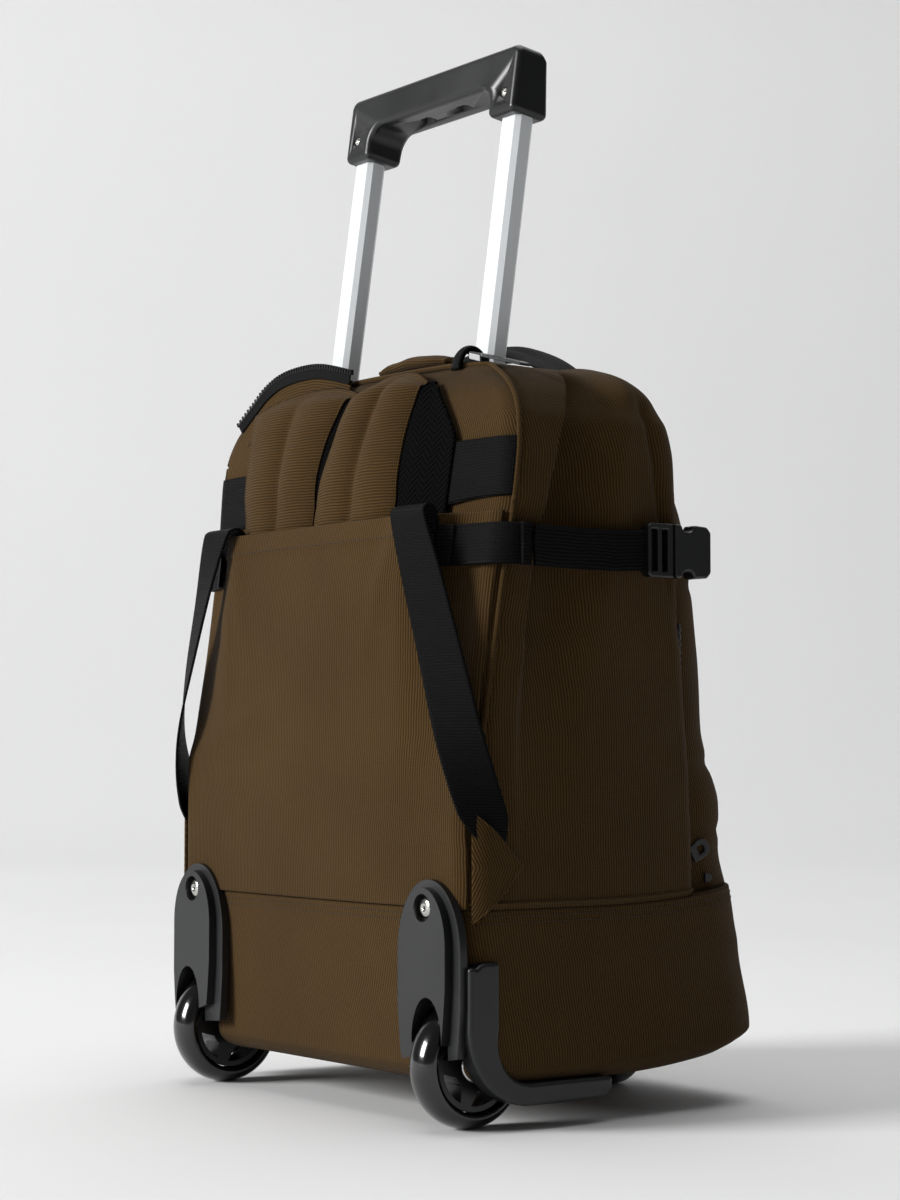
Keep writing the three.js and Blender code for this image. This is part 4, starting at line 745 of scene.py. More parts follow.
def base_grid(rows=70):
    """The base's surface: rounded bottom edge, leaning front and soft unevenness."""
    rise = np.linspace(0, 1, rows) ** 1.3
    row = curve(BASE_SECTIONS, rise)
    drawn = row[..., 0] * BASE_EDGE
    x, y = outline({
        "half": HALF_WIDTH - drawn,
        "back": BACK_AT_SEAM + row[..., 1] * BASE_BACK_LEAN + drawn,
        "front": BACK_AT_SEAM + BASE_DEPTH + (1 - row[..., 2]) * BASE_FORWARD - drawn,
        "back_corner": BACK_CORNER + 0 * drawn,
        "front_corner": 50 + 0 * drawn,
        "back_crown": 4 * rise,
        "front_crown": 4 + 0 * drawn,
        "side_crown": 1 + 2 * rise,
    })
    z = underside(y) + (seam(y) - 0.3 - underside(y)) * rise[:, None]
    grid = np.stack([x, y, z], -1)
    edge = smooth(rise, 0.0, 0.15)[:, None] * (1 - smooth(rise, 0.85, 1.0))[:, None]
    soft = (0.8 * waves(y + 0.5 * x, z, 90, 21)
            + 0.5 * bump(z, 100 + 6 * waves(y, y * 0, 130, 5), 6)) * edge
    soft *= smooth(y, 20, 60)
    return grid + normals(grid, True) * soft[..., None]


def pocket_grid(rows=120):
    """The front pocket's surface, with the bulges and creases of its cloth."""
    rise = 1 - (1 - np.linspace(0, 1, rows)) ** 1.4
    row = curve(POCKET_SECTIONS, rise)
    drawn = row[..., 1] * POCKET_ROUNDING
    x, y = outline({
        "half": POCKET_HALF_WIDTH - drawn,
        "back": 110 + 0 * drawn,
        "front": BACK_AT_SEAM + POCKET_DEPTH - row[..., 0] * POCKET_SETBACK,
        "back_corner": 6 + 0 * drawn,
        "front_corner": POCKET_CORNER + 0 * drawn,
        "back_crown": 0 * drawn,
        "front_crown": 3 + 0 * drawn,
        "side_crown": 0 * drawn,
    }, (20, 6, 40, 30, 110))
    z = seam(y) + (POCKET_TOP - seam(y)) * rise[:, None]
    grid = np.stack([x, y, z], -1)
    front = smooth(y, 150, 180)
    folds = 2.6 * bump(z, 205 + 0.06 * np.abs(x), 5) + 1.8 * bump(z, 178 - 0.05 * np.abs(x), 4)
    folds += 1.5 * bump(z, 322 + 4 * waves(x, z * 0, 160, 8), 5)
    soft = 1.6 * waves(x, z, 110, 31) + 0.5 * waves(x, z, 38, 32) - folds
    return grid + normals(grid, True) * (soft * front * smooth(rise, 0, 0.08)[:, None] * 0.8)[..., None]


def panel_stand(x, z):
    """How far the strap pocket stands off the back: most at the hem's middle."""
    height = smooth(z, BASE_TOP + 20, HEM_HEIGHT)
    return HEM_STAND * height * (1 - smooth(np.abs(x), 92, PANEL_HALF_WIDTH))


def panel_at(x, z):
    """The strap pocket's outer surface."""
    return back_at(x, z) - PANEL_GAP - panel_stand(x, z)


# Settings and operators

class ClothSettings(bpy.types.PropertyGroup):
    """Colours and weave of the cloth."""

    cloth_light: bpy.props.StringProperty(
        name="Cloth, light yarn", description="Hex colour of the canvas on top of its ribs",
        default="#4a3619")
    cloth_dark: bpy.props.StringProperty(
        name="Cloth, dark yarn", description="Hex colour of the canvas between its ribs", default="#271b0a")
    rib_pitch: bpy.props.FloatProperty(
        name="Rib pitch", description="Distance between the canvas's cross ribs, in millimetres",
        default=1.9,
        min=0.5, max=6.0)


class TrimSettings(bpy.types.PropertyGroup):
    """Sizes of the cord, stitches and webbing."""

    piping: bpy.props.FloatProperty(
        name="Piping", description="Radius of the corded seam round the back", default=0.0017,
        unit="LENGTH")
    stitch: bpy.props.FloatProperty(
        name="Stitch length", description="Length of one visible stitch", default=0.0032, unit="LENGTH")
    webbing: bpy.props.FloatProperty(
        name="Webbing", description="Thickness of the webbing", default=0.0016, unit="LENGTH")


def stitches(name, line, normal, length):
    """A row of raised stitches: short rounded bars laid end to end along a line on a surface."""
    line = np.asarray(line, float)
    along = np.concatenate([[0], np.cumsum(np.linalg.norm(np.diff(line, axis=0), axis=1))])
    count = max(int(along[-1] / (length * 1.35)), 2)
    start = (np.arange(count) + 0.15) * along[-1] / count
    u = np.linspace(0, 1, 5)[None]
    where = start[:, None] + u * length

    def pick(values):
        return np.stack([np.interp(where, along, values[:, i]) for i in range(3)], -1)

    middle, up = pick(line), pick(np.broadcast_to(np.asarray(normal, float), line.shape))
    ahead = np.gradient(middle, axis=1)
    ahead /= np.linalg.norm(ahead, axis=-1, keepdims=True)
    side = np.cross(ahead, up)
    size = 0.32 * np.sin(np.pi * (0.12 + 0.76 * u))[..., None]
    a = np.linspace(0, 2 * np.pi, 6, endpoint=False)
    ring = [middle + size * (np.cos(t) * side + (np.sin(t) + 0.5) * up) for t in a]
    grid = np.stack(ring, 2)
    rows, columns = 5, 6
    quads = grid_faces(rows, columns, True)
    caps = np.array([[0, 5, 4, 3, 2, 1], [24, 25, 26, 27, 28, 29]])
    offsets = np.arange(count)[:, None, None] * rows * columns
    faces = [*(quads[None] + offsets).reshape(-1, 4).tolist(),
             *(caps[None] + offsets).reshape(-1, 6).tolist()]
    return outward(add_mesh(name, grid.reshape(-1, 3), faces, None, MATERIALS["thread"]))


class BACKPACK_OT_body(bpy.types.Operator):
    """Builds the cloth body above the side seam"""

    bl_idname = "backpack.body"
    bl_label = "Body"

    def execute(self, context):
        grid = close_up(body_grid(), 26, 3.0)
        wear(shell_piece("bag_body", grid, MATERIALS["cloth"]), "cloth", "bag", "body_shell")
        return {"FINISHED"}


class BACKPACK_OT_base(bpy.types.Operator):
    """Builds the cloth base and cuts its wheel wells"""

    bl_idname = "backpack.base"
    bl_label = "Base"

    def execute(self, context):
        grid = base_grid()
        bottom = close_up(grid[::-1], 24, 0, underside)
        base = shell_piece("bag_base", bottom[::-1], MATERIALS["cloth"])
        for _, sign in SIDES:
            well = turned("well", plug(WELL_CUT_RADIUS, -WELL_CUT_REACH, WELL_CUT_REACH),
                          MATERIALS["plastic"], "x", (sign * HALF_TRACK, 0, WHEEL_RADIUS), 64)
            cut(base, well)
            # The handle's tubes come down into the base when it is pushed in
            room = turned("tube_room", plug(TUBE_ROOM, -TUBE_ROOM_DEPTH, 20), MATERIALS["cloth"], "z",
                          (sign * TUBE_HALF_SPACING, TUBE_ROOM_PLACE, BASE_TOP), 48)
            cut(base, room)
        wear(base, "cloth", "bag", "base_shell")
        return {"FINISHED"}


class BACKPACK_OT_front_pocket(bpy.types.Operator):
    """Builds the front pocket"""

    bl_idname = "backpack.front_pocket"
    bl_label = "Front pocket"

    def execute(self, context):
        grid = close_up(pocket_grid(), 10, 1.5)
        wear(shell_piece("pocket_front", grid, MATERIALS["cloth"]), "cloth", "bag", "front_pocket")
        # A short zip runs along both sides of the pocket
        for side, sign in SIDES:
            z = np.linspace(140, 300, 90)
            line = np.stack([np.full(90, sign * (POCKET_HALF_WIDTH - 0.6)), 154 + 0 * z, z], -1)
            teeth = tube_piece(f"pocket_zip_{side}", line, 1.5 + 0.5 * np.sin(np.arange(90) * 2.4),
                               MATERIALS["zip"], 8)
            wear(teeth, "zip")
        return {"FINISHED"}


class BACKPACK_OT_strap_pocket(bpy.types.Operator):
    """Builds the cloth panel that the straps' lower ends go into"""

    bl_idname = "backpack.strap_pocket"
    bl_label = "Strap pocket"

    def execute(self, context):
        x = np.linspace(-157, 157, 220)[None, :]
        z = np.linspace(BASE_TOP + 0.5, HEM_HEIGHT, 170)[:, None]
        x, z = np.broadcast_arrays(x, z)
        y = panel_at(x, z)
        # Soft pulls run from the webbing's corners at the hem down into the panel
        pull = 1.4 * bump(x + 0.35 * (HEM_HEIGHT - z), 92, 9) * smooth(z, 250, 350)
        pull += 1.2 * bump(x - 0.3 * (HEM_HEIGHT - z), -96, 9) * smooth(z, 240, 350)
        soft = 1.5 * waves(x, z, 170, 41) + 0.4 * waves(x, z, 50, 42)
        y = (y - 1.6 * bump(z, 262 + 0.3 * x, 10) * smooth(-x, -40, 120)
             - 1.2 * bump(z, 205 - 0.2 * x, 9) * smooth(x, -60, 90))
        low = smooth(z, BASE_TOP, BASE_TOP + 25) * (1 - smooth(np.abs(x), 120, 150))
        hem = 0.9 * (smooth(z, HEM_HEIGHT - 15.5, HEM_HEIGHT - 14.0))
        y = y - (pull + soft) * low - hem
        grid = np.stack([x, y, z], -1)
        panel = sheet_piece("strap_panel", grid, MATERIALS["cloth"], 1.8)
        wear(panel, "cloth", "bag", "strap_pocket")
        line = grid[int(170 * (1 - 13.0 / (HEM_HEIGHT - BASE_TOP)))]
        wear(stitches("hem_stitches", line + (0, -0.1, 0), (0, -1, 0), 3.2), "cloth")
        return {"FINISHED"}


# Shoulder straps by height: rise, left and right edge as shares of the half width, stand
STRAP_SECTIONS = {
    "left": [(0.0, -0.56, -0.14, 0.5), (0.33, -0.63, -0.135, 1.0), (0.52, -0.645, -0.135, 1.2),
             (0.7, -0.65, -0.1, 1.12), (0.85, -0.66, -0.025, 0.95), (0.94, -0.675, 0.035, 0.8),
             (1.0, -0.7, 0.08, 0.6)],
    "right": [(0.0, -0.115, 0.41, 0.5), (0.33, -0.115, 0.41, 1.0), (0.52, -0.09, 0.415, 1.2),
              (0.7, -0.03, 0.435, 1.12), (0.85, 0.03, 0.475, 0.95), (0.94, 0.08, 0.5, 0.8),
              (1.0, 0.13, 0.51, 0.6)],
}


def strap_surface(side, rows=130, columns=84):
    """A shoulder strap's front: two padded lobes |sin 2 pi u|^0.5 inside a rounded rim, and its rear line."""
    rise = np.linspace(0, 1, rows)[:, None]
    left, right, stand = np.moveaxis(curve(STRAP_SECTIONS[side], rise), -1, 0)
    u = (1 - np.cos(np.pi * np.linspace(0, 1, columns)))[None, :] / 2
    z = STRAP_BOTTOM + (STRAP_TOP - STRAP_BOTTOM) * rise + 0 * u
    # The top end rolls over: its corners are rounded off and it falls back on to the bag
    end = smooth(rise, 0.9, 1.0)
    z = z - end * 9 * np.abs(2 * u - 1) ** 2.5
    x = HALF_WIDTH * (left + (right - left) * u)
    behind = (back_at(x, z) - PANEL_GAP - STRAP_PADDING * np.clip(stand - 1.1, 0, 1)
              - 3.0 * smooth(rise, 0, 0.35) + 3 * end)
    thick = STRAP_PADDING * np.minimum(stand, 1) * np.sqrt(1 - 0.86 * end**2)
    lobe = np.abs(np.sin(2 * np.pi * u)) ** 0.5
    rim = np.sin(np.pi * np.clip(u, 0.001, 0.999)) ** 0.3
    front = thick * (0.34 + 0.66 * lobe * rim) + 1.1 * bump(u, 0.5, 0.02) + 0.9 * bump(u, 0.035, 0.02)
    front = front + 0.3 * waves(x, z, 40, 51) * rim
    return x, z, behind, front, rise


class BACKPACK_OT_shoulder_straps(bpy.types.Operator):
    """Builds the padded shoulder straps and their mesh linings"""

    bl_idname = "backpack.shoulder_straps"
    bl_label = "Shoulder straps"

    def execute(self, context):
        for side, _ in SIDES:
            x, z, behind, front, rise = strap_surface(side)
            edge = MESH_PADDING + 0.3
            face = np.stack([x, behind - edge - np.maximum(front - MESH_PADDING, 1.2), z], -1)
            rear = np.stack([x, behind - edge + 0 * front, z], -1)[:, -2:1:-3]
            grid = np.concatenate([face, rear], 1)
            strap = outward(shell_piece(f"padded_strap_{side}", grid, MATERIALS["padded"], lengths(grid)))
            wear(strap, "cloth", "bag", f"shoulder_strap_{side}")
            # The mesh underside spreads past the strap's right edge and curves back on to the bag; past the edge
            # this near-black sheet is partly real mesh and partly painted shade of the gap beside the strap
            reach = {"left": (30, 6), "right": (38, 4)}[side]
            wide = reach[0] * (1 - smooth(rise, 0.62, 1.0)) + reach[1]
            edge_x = x[:, -1:]
            v = np.linspace(0, 1, 60)[None, :]
            inner_x = x[:, :1] + 3 + (edge_x + wide - x[:, :1] - 3) * v
            beyond = smooth(inner_x, edge_x - 2, edge_x + wide)
            far = back_at(inner_x, z[:, :1] + 0 * v) - 5.2
            strap_y = np.stack([np.interp(a, b, c)
                                for a, b, c in zip(inner_x, x, behind - MESH_PADDING - 0.05)])
            inner = np.stack([inner_x, strap_y * (1 - beyond) + far * beyond, z[:, -1:] + 0 * v], -1)
            lining = sheet_piece(f"mesh_lining_{side}", inner, MATERIALS["mesh"], 2.4)
            wear(lining, "mesh", "bag", f"strap_lining_{side}")
        return {"FINISHED"}


class BACKPACK_OT_band(bpy.types.Operator):
    """Builds the webbing band across the upper back"""

    bl_idname = "backpack.band"
    bl_label = "Back band"

    def execute(self, context):
        x = np.linspace(-160, 160, 170)[None, :]
        u = np.linspace(0, 1, 24)[:, None]
        sag = 3.0 * bump(x, 96, 26)
        z = BAND_BOTTOM + (BAND_TOP - BAND_BOTTOM) * u - sag * (1 - u) + 0 * x
        y = back_at(x, z) - 2.4 - 1.4 * bump(x, 100, 30)
        grid = np.stack([x + 0 * u, y, z], -1)
        band = sheet_piece("webbing_band", grid, MATERIALS["webbing"], 1.4)
        wear(band, "webbing", "bag", "back_band")
        return {"FINISHED"}


LOWER_WEBBING = [
    (0.84, 0.65, -8, 0), (0.96, 0.65, -11.5, 0), (1.012, 0.652, -14.5, 1), (1.018, 0.656, -20, 3),
    (0.985, 0.668, -23.5, 6), (0.8, 0.76, -24.5, 16), (0.55, 0.875, -24.5, 24), (0.34, 0.955, -23, 36),
    (0.18, 0.99, -17, 52), (0.03, 1.0, -7, 72), (-0.06, 1.004, 0, 84),
]
TAB_MIDDLE = 172.0
LOWER_WIDTH = 30.0


class BACKPACK_OT_lower_webbing(bpy.types.Operator):
    """Builds the shoulder straps' lower webbing, from the pocket over its hem to the side tabs"""

    bl_idname = "backpack.lower_webbing"
    bl_label = "Lower webbing"

    def execute(self, context):
        thickness = 1000 * context.scene.backpack_trim.webbing
        for side, sign in SIDES:
            rows = np.array([(sign * x * HALF_WIDTH, y, TAB_MIDDLE + (HEM_HEIGHT - TAB_MIDDLE) * rise, turn)
                             for rise, x, y, turn in LOWER_WEBBING])
            line = path(rows, 130)
            turn = np.radians(line[:, 3])
            across = np.stack([sign * np.cos(turn), np.sin(turn), 0 * turn], -1) * sign
            grid = strip_grid(line[:, :3], across, LOWER_WIDTH, 17)
            middle = grid.mean(axis=1, keepdims=True)
            grid = middle + (grid - middle) * (0.45 + 0.55 * smooth(middle[..., 2:], 160, 186))
            webbing = outward(sheet_piece(f"strap_webbing_{side}", grid, MATERIALS["webbing"], thickness))
            wear(webbing, "webbing", "bag", f"lower_webbing_{side}")
        return {"FINISHED"}


class BACKPACK_OT_side_tabs(bpy.types.Operator):
    """Builds the folded cloth triangles that hold the lower webbing"""

    bl_idname = "backpack.side_tabs"
    bl_label = "Side tabs"

    def execute(self, context):
        for side, sign in SIDES:
            v = np.linspace(0, 1, 60)[:, None]
            z = 121 + 65 * v
            reach = 32 * np.clip(1 - np.abs(v - 0.5) * 2, 0.02, 1) ** 0.9
            u = np.linspace(0, 1, 26)[None, :]
            arc = u * reach
            bend = BACK_CORNER * np.pi / 4
            angle = np.pi / 4 + np.minimum(arc, bend) / BACK_CORNER
            radius = BACK_CORNER + 3.4 + 0.6 * bump(u, 0.93, 0.06)
            beyond = np.maximum(arc - bend, 0)
            x = HALF_WIDTH - BACK_CORNER + radius * np.sin(angle) + 0.06 * beyond
            y = BACK_AT_SEAM + BACK_CORNER - radius * np.cos(angle) + beyond
            grid = np.stack([sign * x, y, z + 0 * x], -1)
            tab = outward(sheet_piece(f"cloth_tab_{side}", grid, MATERIALS["cloth"], 2.2))
            wear(tab, "cloth", "bag", f"side_tab_{side}")
        return {"FINISHED"}


def side_plan(z):
    """The body's plan at one height."""
    return {key: float(np.atleast_1d(v)[0])
            for key, v in body_plan(np.array([(z - BASE_TOP) / (BAG_TOP - BASE_TOP)])).items()}


class BACKPACK_OT_side_straps(bpy.types.Operator):
    """Builds the compression straps, their buckles and the short straps on the pocket"""

    bl_idname = "backpack.side_straps"
    bl_label = "Side straps"

    def execute(self, context):
        z = COMPRESSION_HEIGHT
        plan = side_plan(z)
        flat = plan["half"] - BACK_CORNER
        middle = plan["half"] + plan["side_crown"] + 0.9 + BUCKLE_THICKNESS / 2
        thickness = 1000 * context.scene.backpack_trim.webbing
        for side, sign in SIDES:
            self.strap(side, sign, z, plan, flat, middle, thickness)
            self.buckle(side, sign, z, middle)
        return {"FINISHED"}

    def strap(self, side, sign, z, plan, flat, middle, thickness):
        """Webbing from its sewn end on the back, round the corner to the buckle."""
        low, high = z - COMPRESSION_WIDTH / 2, z + COMPRESSION_WIDTH / 2
        points, tilt = [], []
        for x in (COMPRESSION_START, 128.0, 137.0, flat):
            near, far = float(panel_at(x, low)), float(panel_at(x, high))
            points.append((sign * x, min(near, far) + abs(near - far) / 2 - 3.6, z))
            tilt.append((0, far - near, COMPRESSION_WIDTH))
        radius = BACK_CORNER + 6.6
        for a in (0.5, 1.0, math.pi / 2):
            points.append((sign * (flat + radius * math.sin(a)),
                           plan["back"] + BACK_CORNER - radius * math.cos(a), z))
            tilt.append((0, 5.0 * math.cos(a), COMPRESSION_WIDTH))
        for y, x in ((14, plan["half"] + 7.4), (32, plan["half"] + 6.4), (80, plan["half"] + 5.4),
                     (BUCKLE_START + 6, middle)):
            points.append((sign * x, y, z - 2.0 * bump(y, 60, 30)))
            tilt.append((0, 0, 1.0))
        line = path(np.hstack([points, tilt]), 130)
        grid = strip_grid(line[:, :3], line[:, 3:], COMPRESSION_WIDTH, 15)
        webbing = outward(sheet_piece(f"side_webbing_{side}", grid, MATERIALS["strap"], thickness))
        # The sewn end is folded double
        end = strip_grid(line[:9, :3] + (0, -1.7, 0), line[:9, 3:], COMPRESSION_WIDTH, 15)
        fold = outward(sheet_piece(f"sewn_end_{side}", end, MATERIALS["strap"], 1.5))
        piece = join(f"side_webbing_{side}", [webbing, fold])
        wear(piece, "webbing", "bag", f"compression_strap_{side}")
        turn_at = POCKET_HALF_WIDTH - POCKET_CORNER - 2
        rise = (z - BASE_TOP) / (POCKET_TOP - BASE_TOP)
        front = BACK_AT_SEAM + POCKET_DEPTH - float(curve(POCKET_SECTIONS, rise)[0]) * POCKET_SETBACK
        outer = POCKET_CORNER + 4.2
        short = [(sign * middle, BUCKLE_START + BUCKLE_LENGTH - 8, z)]
        for a in (0.45, 0.8, 1.15, 1.5):
            short.append((sign * (turn_at + outer * math.cos(a)),
                          front - POCKET_CORNER + outer * math.sin(a), z))
        short.append((sign * (turn_at - 36), front + 5.6, z))
        line = path(short, 70)
        grid = strip_grid(line, np.tile((0, 0, 1.0), (70, 1)), COMPRESSION_WIDTH, 15)
        webbing = outward(sheet_piece(f"pocket_webbing_{side}", grid, MATERIALS["strap"], thickness))
        wear(webbing, "webbing", "bag", f"front_strap_{side}")

    def buckle(self, side, sign, z, middle):
        """Side-release buckle: a flat socket with two notches, and the plug's frame with its bar."""
        width, split = BUCKLE_WIDTH / 2, BUCKLE_START + BUCKLE_LENGTH * 0.42
        end = BUCKLE_START + BUCKLE_LENGTH
        frame_outline = [(BUCKLE_START, -width + 2), (BUCKLE_START + 2, -width), (split - 0.3, -width),
                         (split - 0.3, width), (BUCKLE_START + 2, width), (BUCKLE_START, width - 2)]
        slots = [[(BUCKLE_START + 3, -12.8), (BUCKLE_START + 8, -12.8), (BUCKLE_START + 8, 12.8),
                  (BUCKLE_START + 3, 12.8)],
                 [(BUCKLE_START + 11.5, -12.8), (BUCKLE_START + 16, -12.8), (BUCKLE_START + 16, 12.8),
                  (BUCKLE_START + 11.5, 12.8)]]

        def lift(loop):
            return [(a, b + z) for a, b in loop]

        plug = prism(f"buckle_frame_{side}", lift(frame_outline), sign * middle - 3.6, sign * middle + 3.6,
                     MATERIALS["buckle"], "x", [lift(s) for s in slots], 1.1)
        wear(plug, "plastic", "bag", f"buckle_plug_{side}")
        notch = split + 10
        top = [(notch + 5.2 * t, width - 4.4 * math.sqrt(max(1 - t * t, 0))) for t in np.linspace(-1, 1, 9)]
        socket_outline = [(split, -width), *[(p, -q) for p, q in top], (end - 3, -width + 0.6),
                          (end, -width + 4), (end, width - 4), (end - 3, width - 0.6), *top[::-1],
                          (split, width)]
        socket = prism(f"buckle_body_{side}", lift(socket_outline), sign * middle - 5.4, sign * middle + 5.4,
                       MATERIALS["buckle"], "x", (), 1.6, 4)
        wear(socket, "plastic", "bag", f"buckle_socket_{side}")


ZIP_ARC = [(-0.86, 0.45), (-0.78, 0.14), (-0.7, -0.1), (-0.58, -0.26), (-0.42, -0.31), (-0.25, -0.26),
           (-0.04, -0.05)]


class BACKPACK_OT_top(bpy.types.Operator):
    """Builds the rolled flap, the carrying handle, the opened zip and its end loop"""

    bl_idname = "backpack.top"
    bl_label = "Top details"

    def execute(self, context):
        self.flap()
        self.carry_handle()
        self.zip()
        self.loop()
        return {"FINISHED"}

    def flap(self):
        """The rolled strap cover: a soft roll with a spiral crease."""
        u = np.linspace(0, 1, 80)[:, None]
        a = np.linspace(0, 2 * np.pi, 48, endpoint=False)[None, :]
        size = 0.45 + 0.55 * np.sin(np.pi * np.clip(u, 0.03, 0.97)) ** 0.5
        size = size * (1 + 0.05 * waves(u * 90, a * 8, 40, 61))
        crease = 1 - 0.16 * bump(a, 0.9 + 0.3 * u, 0.16) - 0.1 * bump(a, 2.6 - 0.2 * u, 0.14)
        y = 38 + 12 * size * crease * np.cos(a)
        z = BAG_TOP + 0.3 + 5 * size + 5 * size * crease * np.sin(a)
        grid = np.stack([70 * u + 0 * a, y, z], -1)
        roll = outward(shell_piece("rolled_cover", grid, MATERIALS["cloth"]))
        wear(roll, "cloth", "bag", "rolled_flap")

    def carry_handle(self):
        """The carrying handle: padded webbing with rolled edges, bowed up from its sewn ends."""
        u = np.linspace(0, 1, 110)
        droop = TOP_ROUNDING / 3 * np.abs(2 * u - 1) ** 3
        crest = 18 * np.sin(np.pi * u) ** 0.8
        line = np.stack([-MIDDLE_TO_HANDLE + 2 * MIDDLE_TO_HANDLE * u, 118 + 0 * u,
                         BAG_TOP + 4 - droop + crest], -1)
        v = np.linspace(0, 2 * np.pi, 40, endpoint=False)
        grip = smooth(u, 0.2, 0.36) * (1 - smooth(u, 0.64, 0.8))
        half_wide = 13 - 1.5 * grip
        half_thick = 1.5 + 3.2 * grip

        def shape(t):
            return np.sign(t) * np.abs(t) ** 0.8

        lobes = 1 - 0.35 * bump(np.cos(v), 0.0, 0.16)
        across = half_wide[:, None] * shape(np.cos(v))[None]
        through = half_thick[:, None] * (shape(np.sin(v)) * lobes)[None]
        turn = np.radians(22) * np.sin(np.pi * u)[:, None] ** 0.6
        y = line[:, 1][:, None] + across * np.cos(turn) - through * np.sin(turn)
        z = line[:, 2][:, None] + across * np.sin(turn) + through * np.cos(turn)
        grid = np.stack([np.repeat(line[:, 0][:, None], 40, 1), y, z], -1)
        handle = outward(shell_piece("carry_handle", grid, MATERIALS["webbing"]))
        wear(handle, "webbing", "bag", "top_handle")

    def zip(self):
        """The open zip: a tape along the top of the back, with one row of moulded teeth every 3 mm."""
        points = []
        for share, drop in ZIP_ARC:
            x, z = share * HALF_WIDTH, BAG_TOP - drop * TOP_ROUNDING
            points.append((x, float(back_at(x, min(z - 10, BAG_TOP - TOP_ROUNDING / 3))) - 1.2, z))
        line = path(points, 150)
        ahead = np.gradient(line, axis=0)
        ahead /= np.linalg.norm(ahead, axis=1, keepdims=True)
        out = np.cross(ahead, (0.0, -1.0, 0.0))
        out /= np.linalg.norm(out, axis=1, keepdims=True)
        out *= np.sign(out[:, 2:3] + 0.3)
        v = np.linspace(-6.5, 0.6, 9)
        grid = line[:, None] + out[:, None] * v[None, :, None]
        tape = outward(sheet_piece("zip_tape_cloth", grid, MATERIALS["tape"], 1.0))
        wear(tape, "webbing", "bag", "zip_tape")
        # The cloth that the tape is sewn to rises with it from the back's top edge
        v = np.linspace(0, 1, 14)[None, :, None]
        low = line - out * 20
        foot = np.stack([low[:, 0], back_at(low[:, 0], np.minimum(low[:, 2], 448)) - 0.6, low[:, 2]], -1)
        rise = (line - out * 3.5 + (0, 0.7, 0))[:, None] * (1 - v) + foot[:, None] * v
        collar = outward(sheet_piece("zip_collar", rise, MATERIALS["cloth"], 1.2))
        wear(collar, "cloth")
        count = int(np.linalg.norm(np.diff(line, axis=0), axis=1).sum() / 3.0)
        at = path(points, count)
        where = np.linspace(0, 149, count).astype(int)
        corner = np.array([(a, b, c) for a in (-1, 1) for b in (-1, 1) for c in (0, 1)], float)
        face = np.array([(0, 1, 3, 2), (4, 6, 7, 5), (0, 4, 5, 1), (2, 3, 7, 6), (0, 2, 6, 4),
                         (1, 5, 7, 3)])
        tooth = corner * (0.95, 1.5, 3.4) * np.where(corner[:, 2:3] > 0, (0.75, 0.8, 1), 1)
        teeth = (at[:, None] + ahead[where][:, None] * tooth[None, :, :1]
                 + np.array([0, 1.0, 0]) * tooth[None, :, 1:2] + out[where][:, None] * tooth[None, :, 2:])
        faces = (face[None] + np.arange(count)[:, None, None] * 8).reshape(-1, 4)
        row = outward(add_mesh("zip_teeth_row", teeth.reshape(-1, 3), faces, None, MATERIALS["zip"], False))
        edge = row.modifiers.new("soft edges", "BEVEL")
        edge.width, edge.segments = 0.0003, 1
        wear(row, "zip", "bag", "zip_teeth")

    def loop(self):
        """The zip's folded end: a loop of ribbed tape over a moulded stop, with its slider and puller."""
        a = np.linspace(0, np.pi, 40)
        line = np.stack([96 - 3 * np.cos(a), 31 - 9 * np.cos(a), BAG_TOP - 6 + 14 * np.sin(a)], -1)
        wide = strip_grid(line, np.tile((1.0, -0.3, 0.0), (40, 1)), 14, 15, 1.4,
                          np.stack([0 * a, -np.cos(a), np.sin(a)], -1))
        loop = outward(sheet_piece("zip_end_loop", wide, MATERIALS["strap"], 3.0))
        slider = prism("slider", [(102, 25), (112, 28), (112, 35), (103, 37)], 0, 6, MATERIALS["zip"], "z",
                       (), 1.4)
        pull = prism("pull", [(110, 28), (114, 26), (138, 38), (140, 44), (134, 46), (111, 34)], 4.4, 6.4,
                     MATERIALS["zip"], "z", [[(126, 37), (128, 35.5), (134, 40), (132, 42)]], 0.7)
        for part in (slider, pull):
            reshape(part, lambda p: p + (0, 0, 1) * (459.5 - 0.3 * (p[:, :1] - 104)))
        piece = join("zip_end_loop", [loop, slider, pull])
        wear(piece, "zip", "bag", "zip_loop")


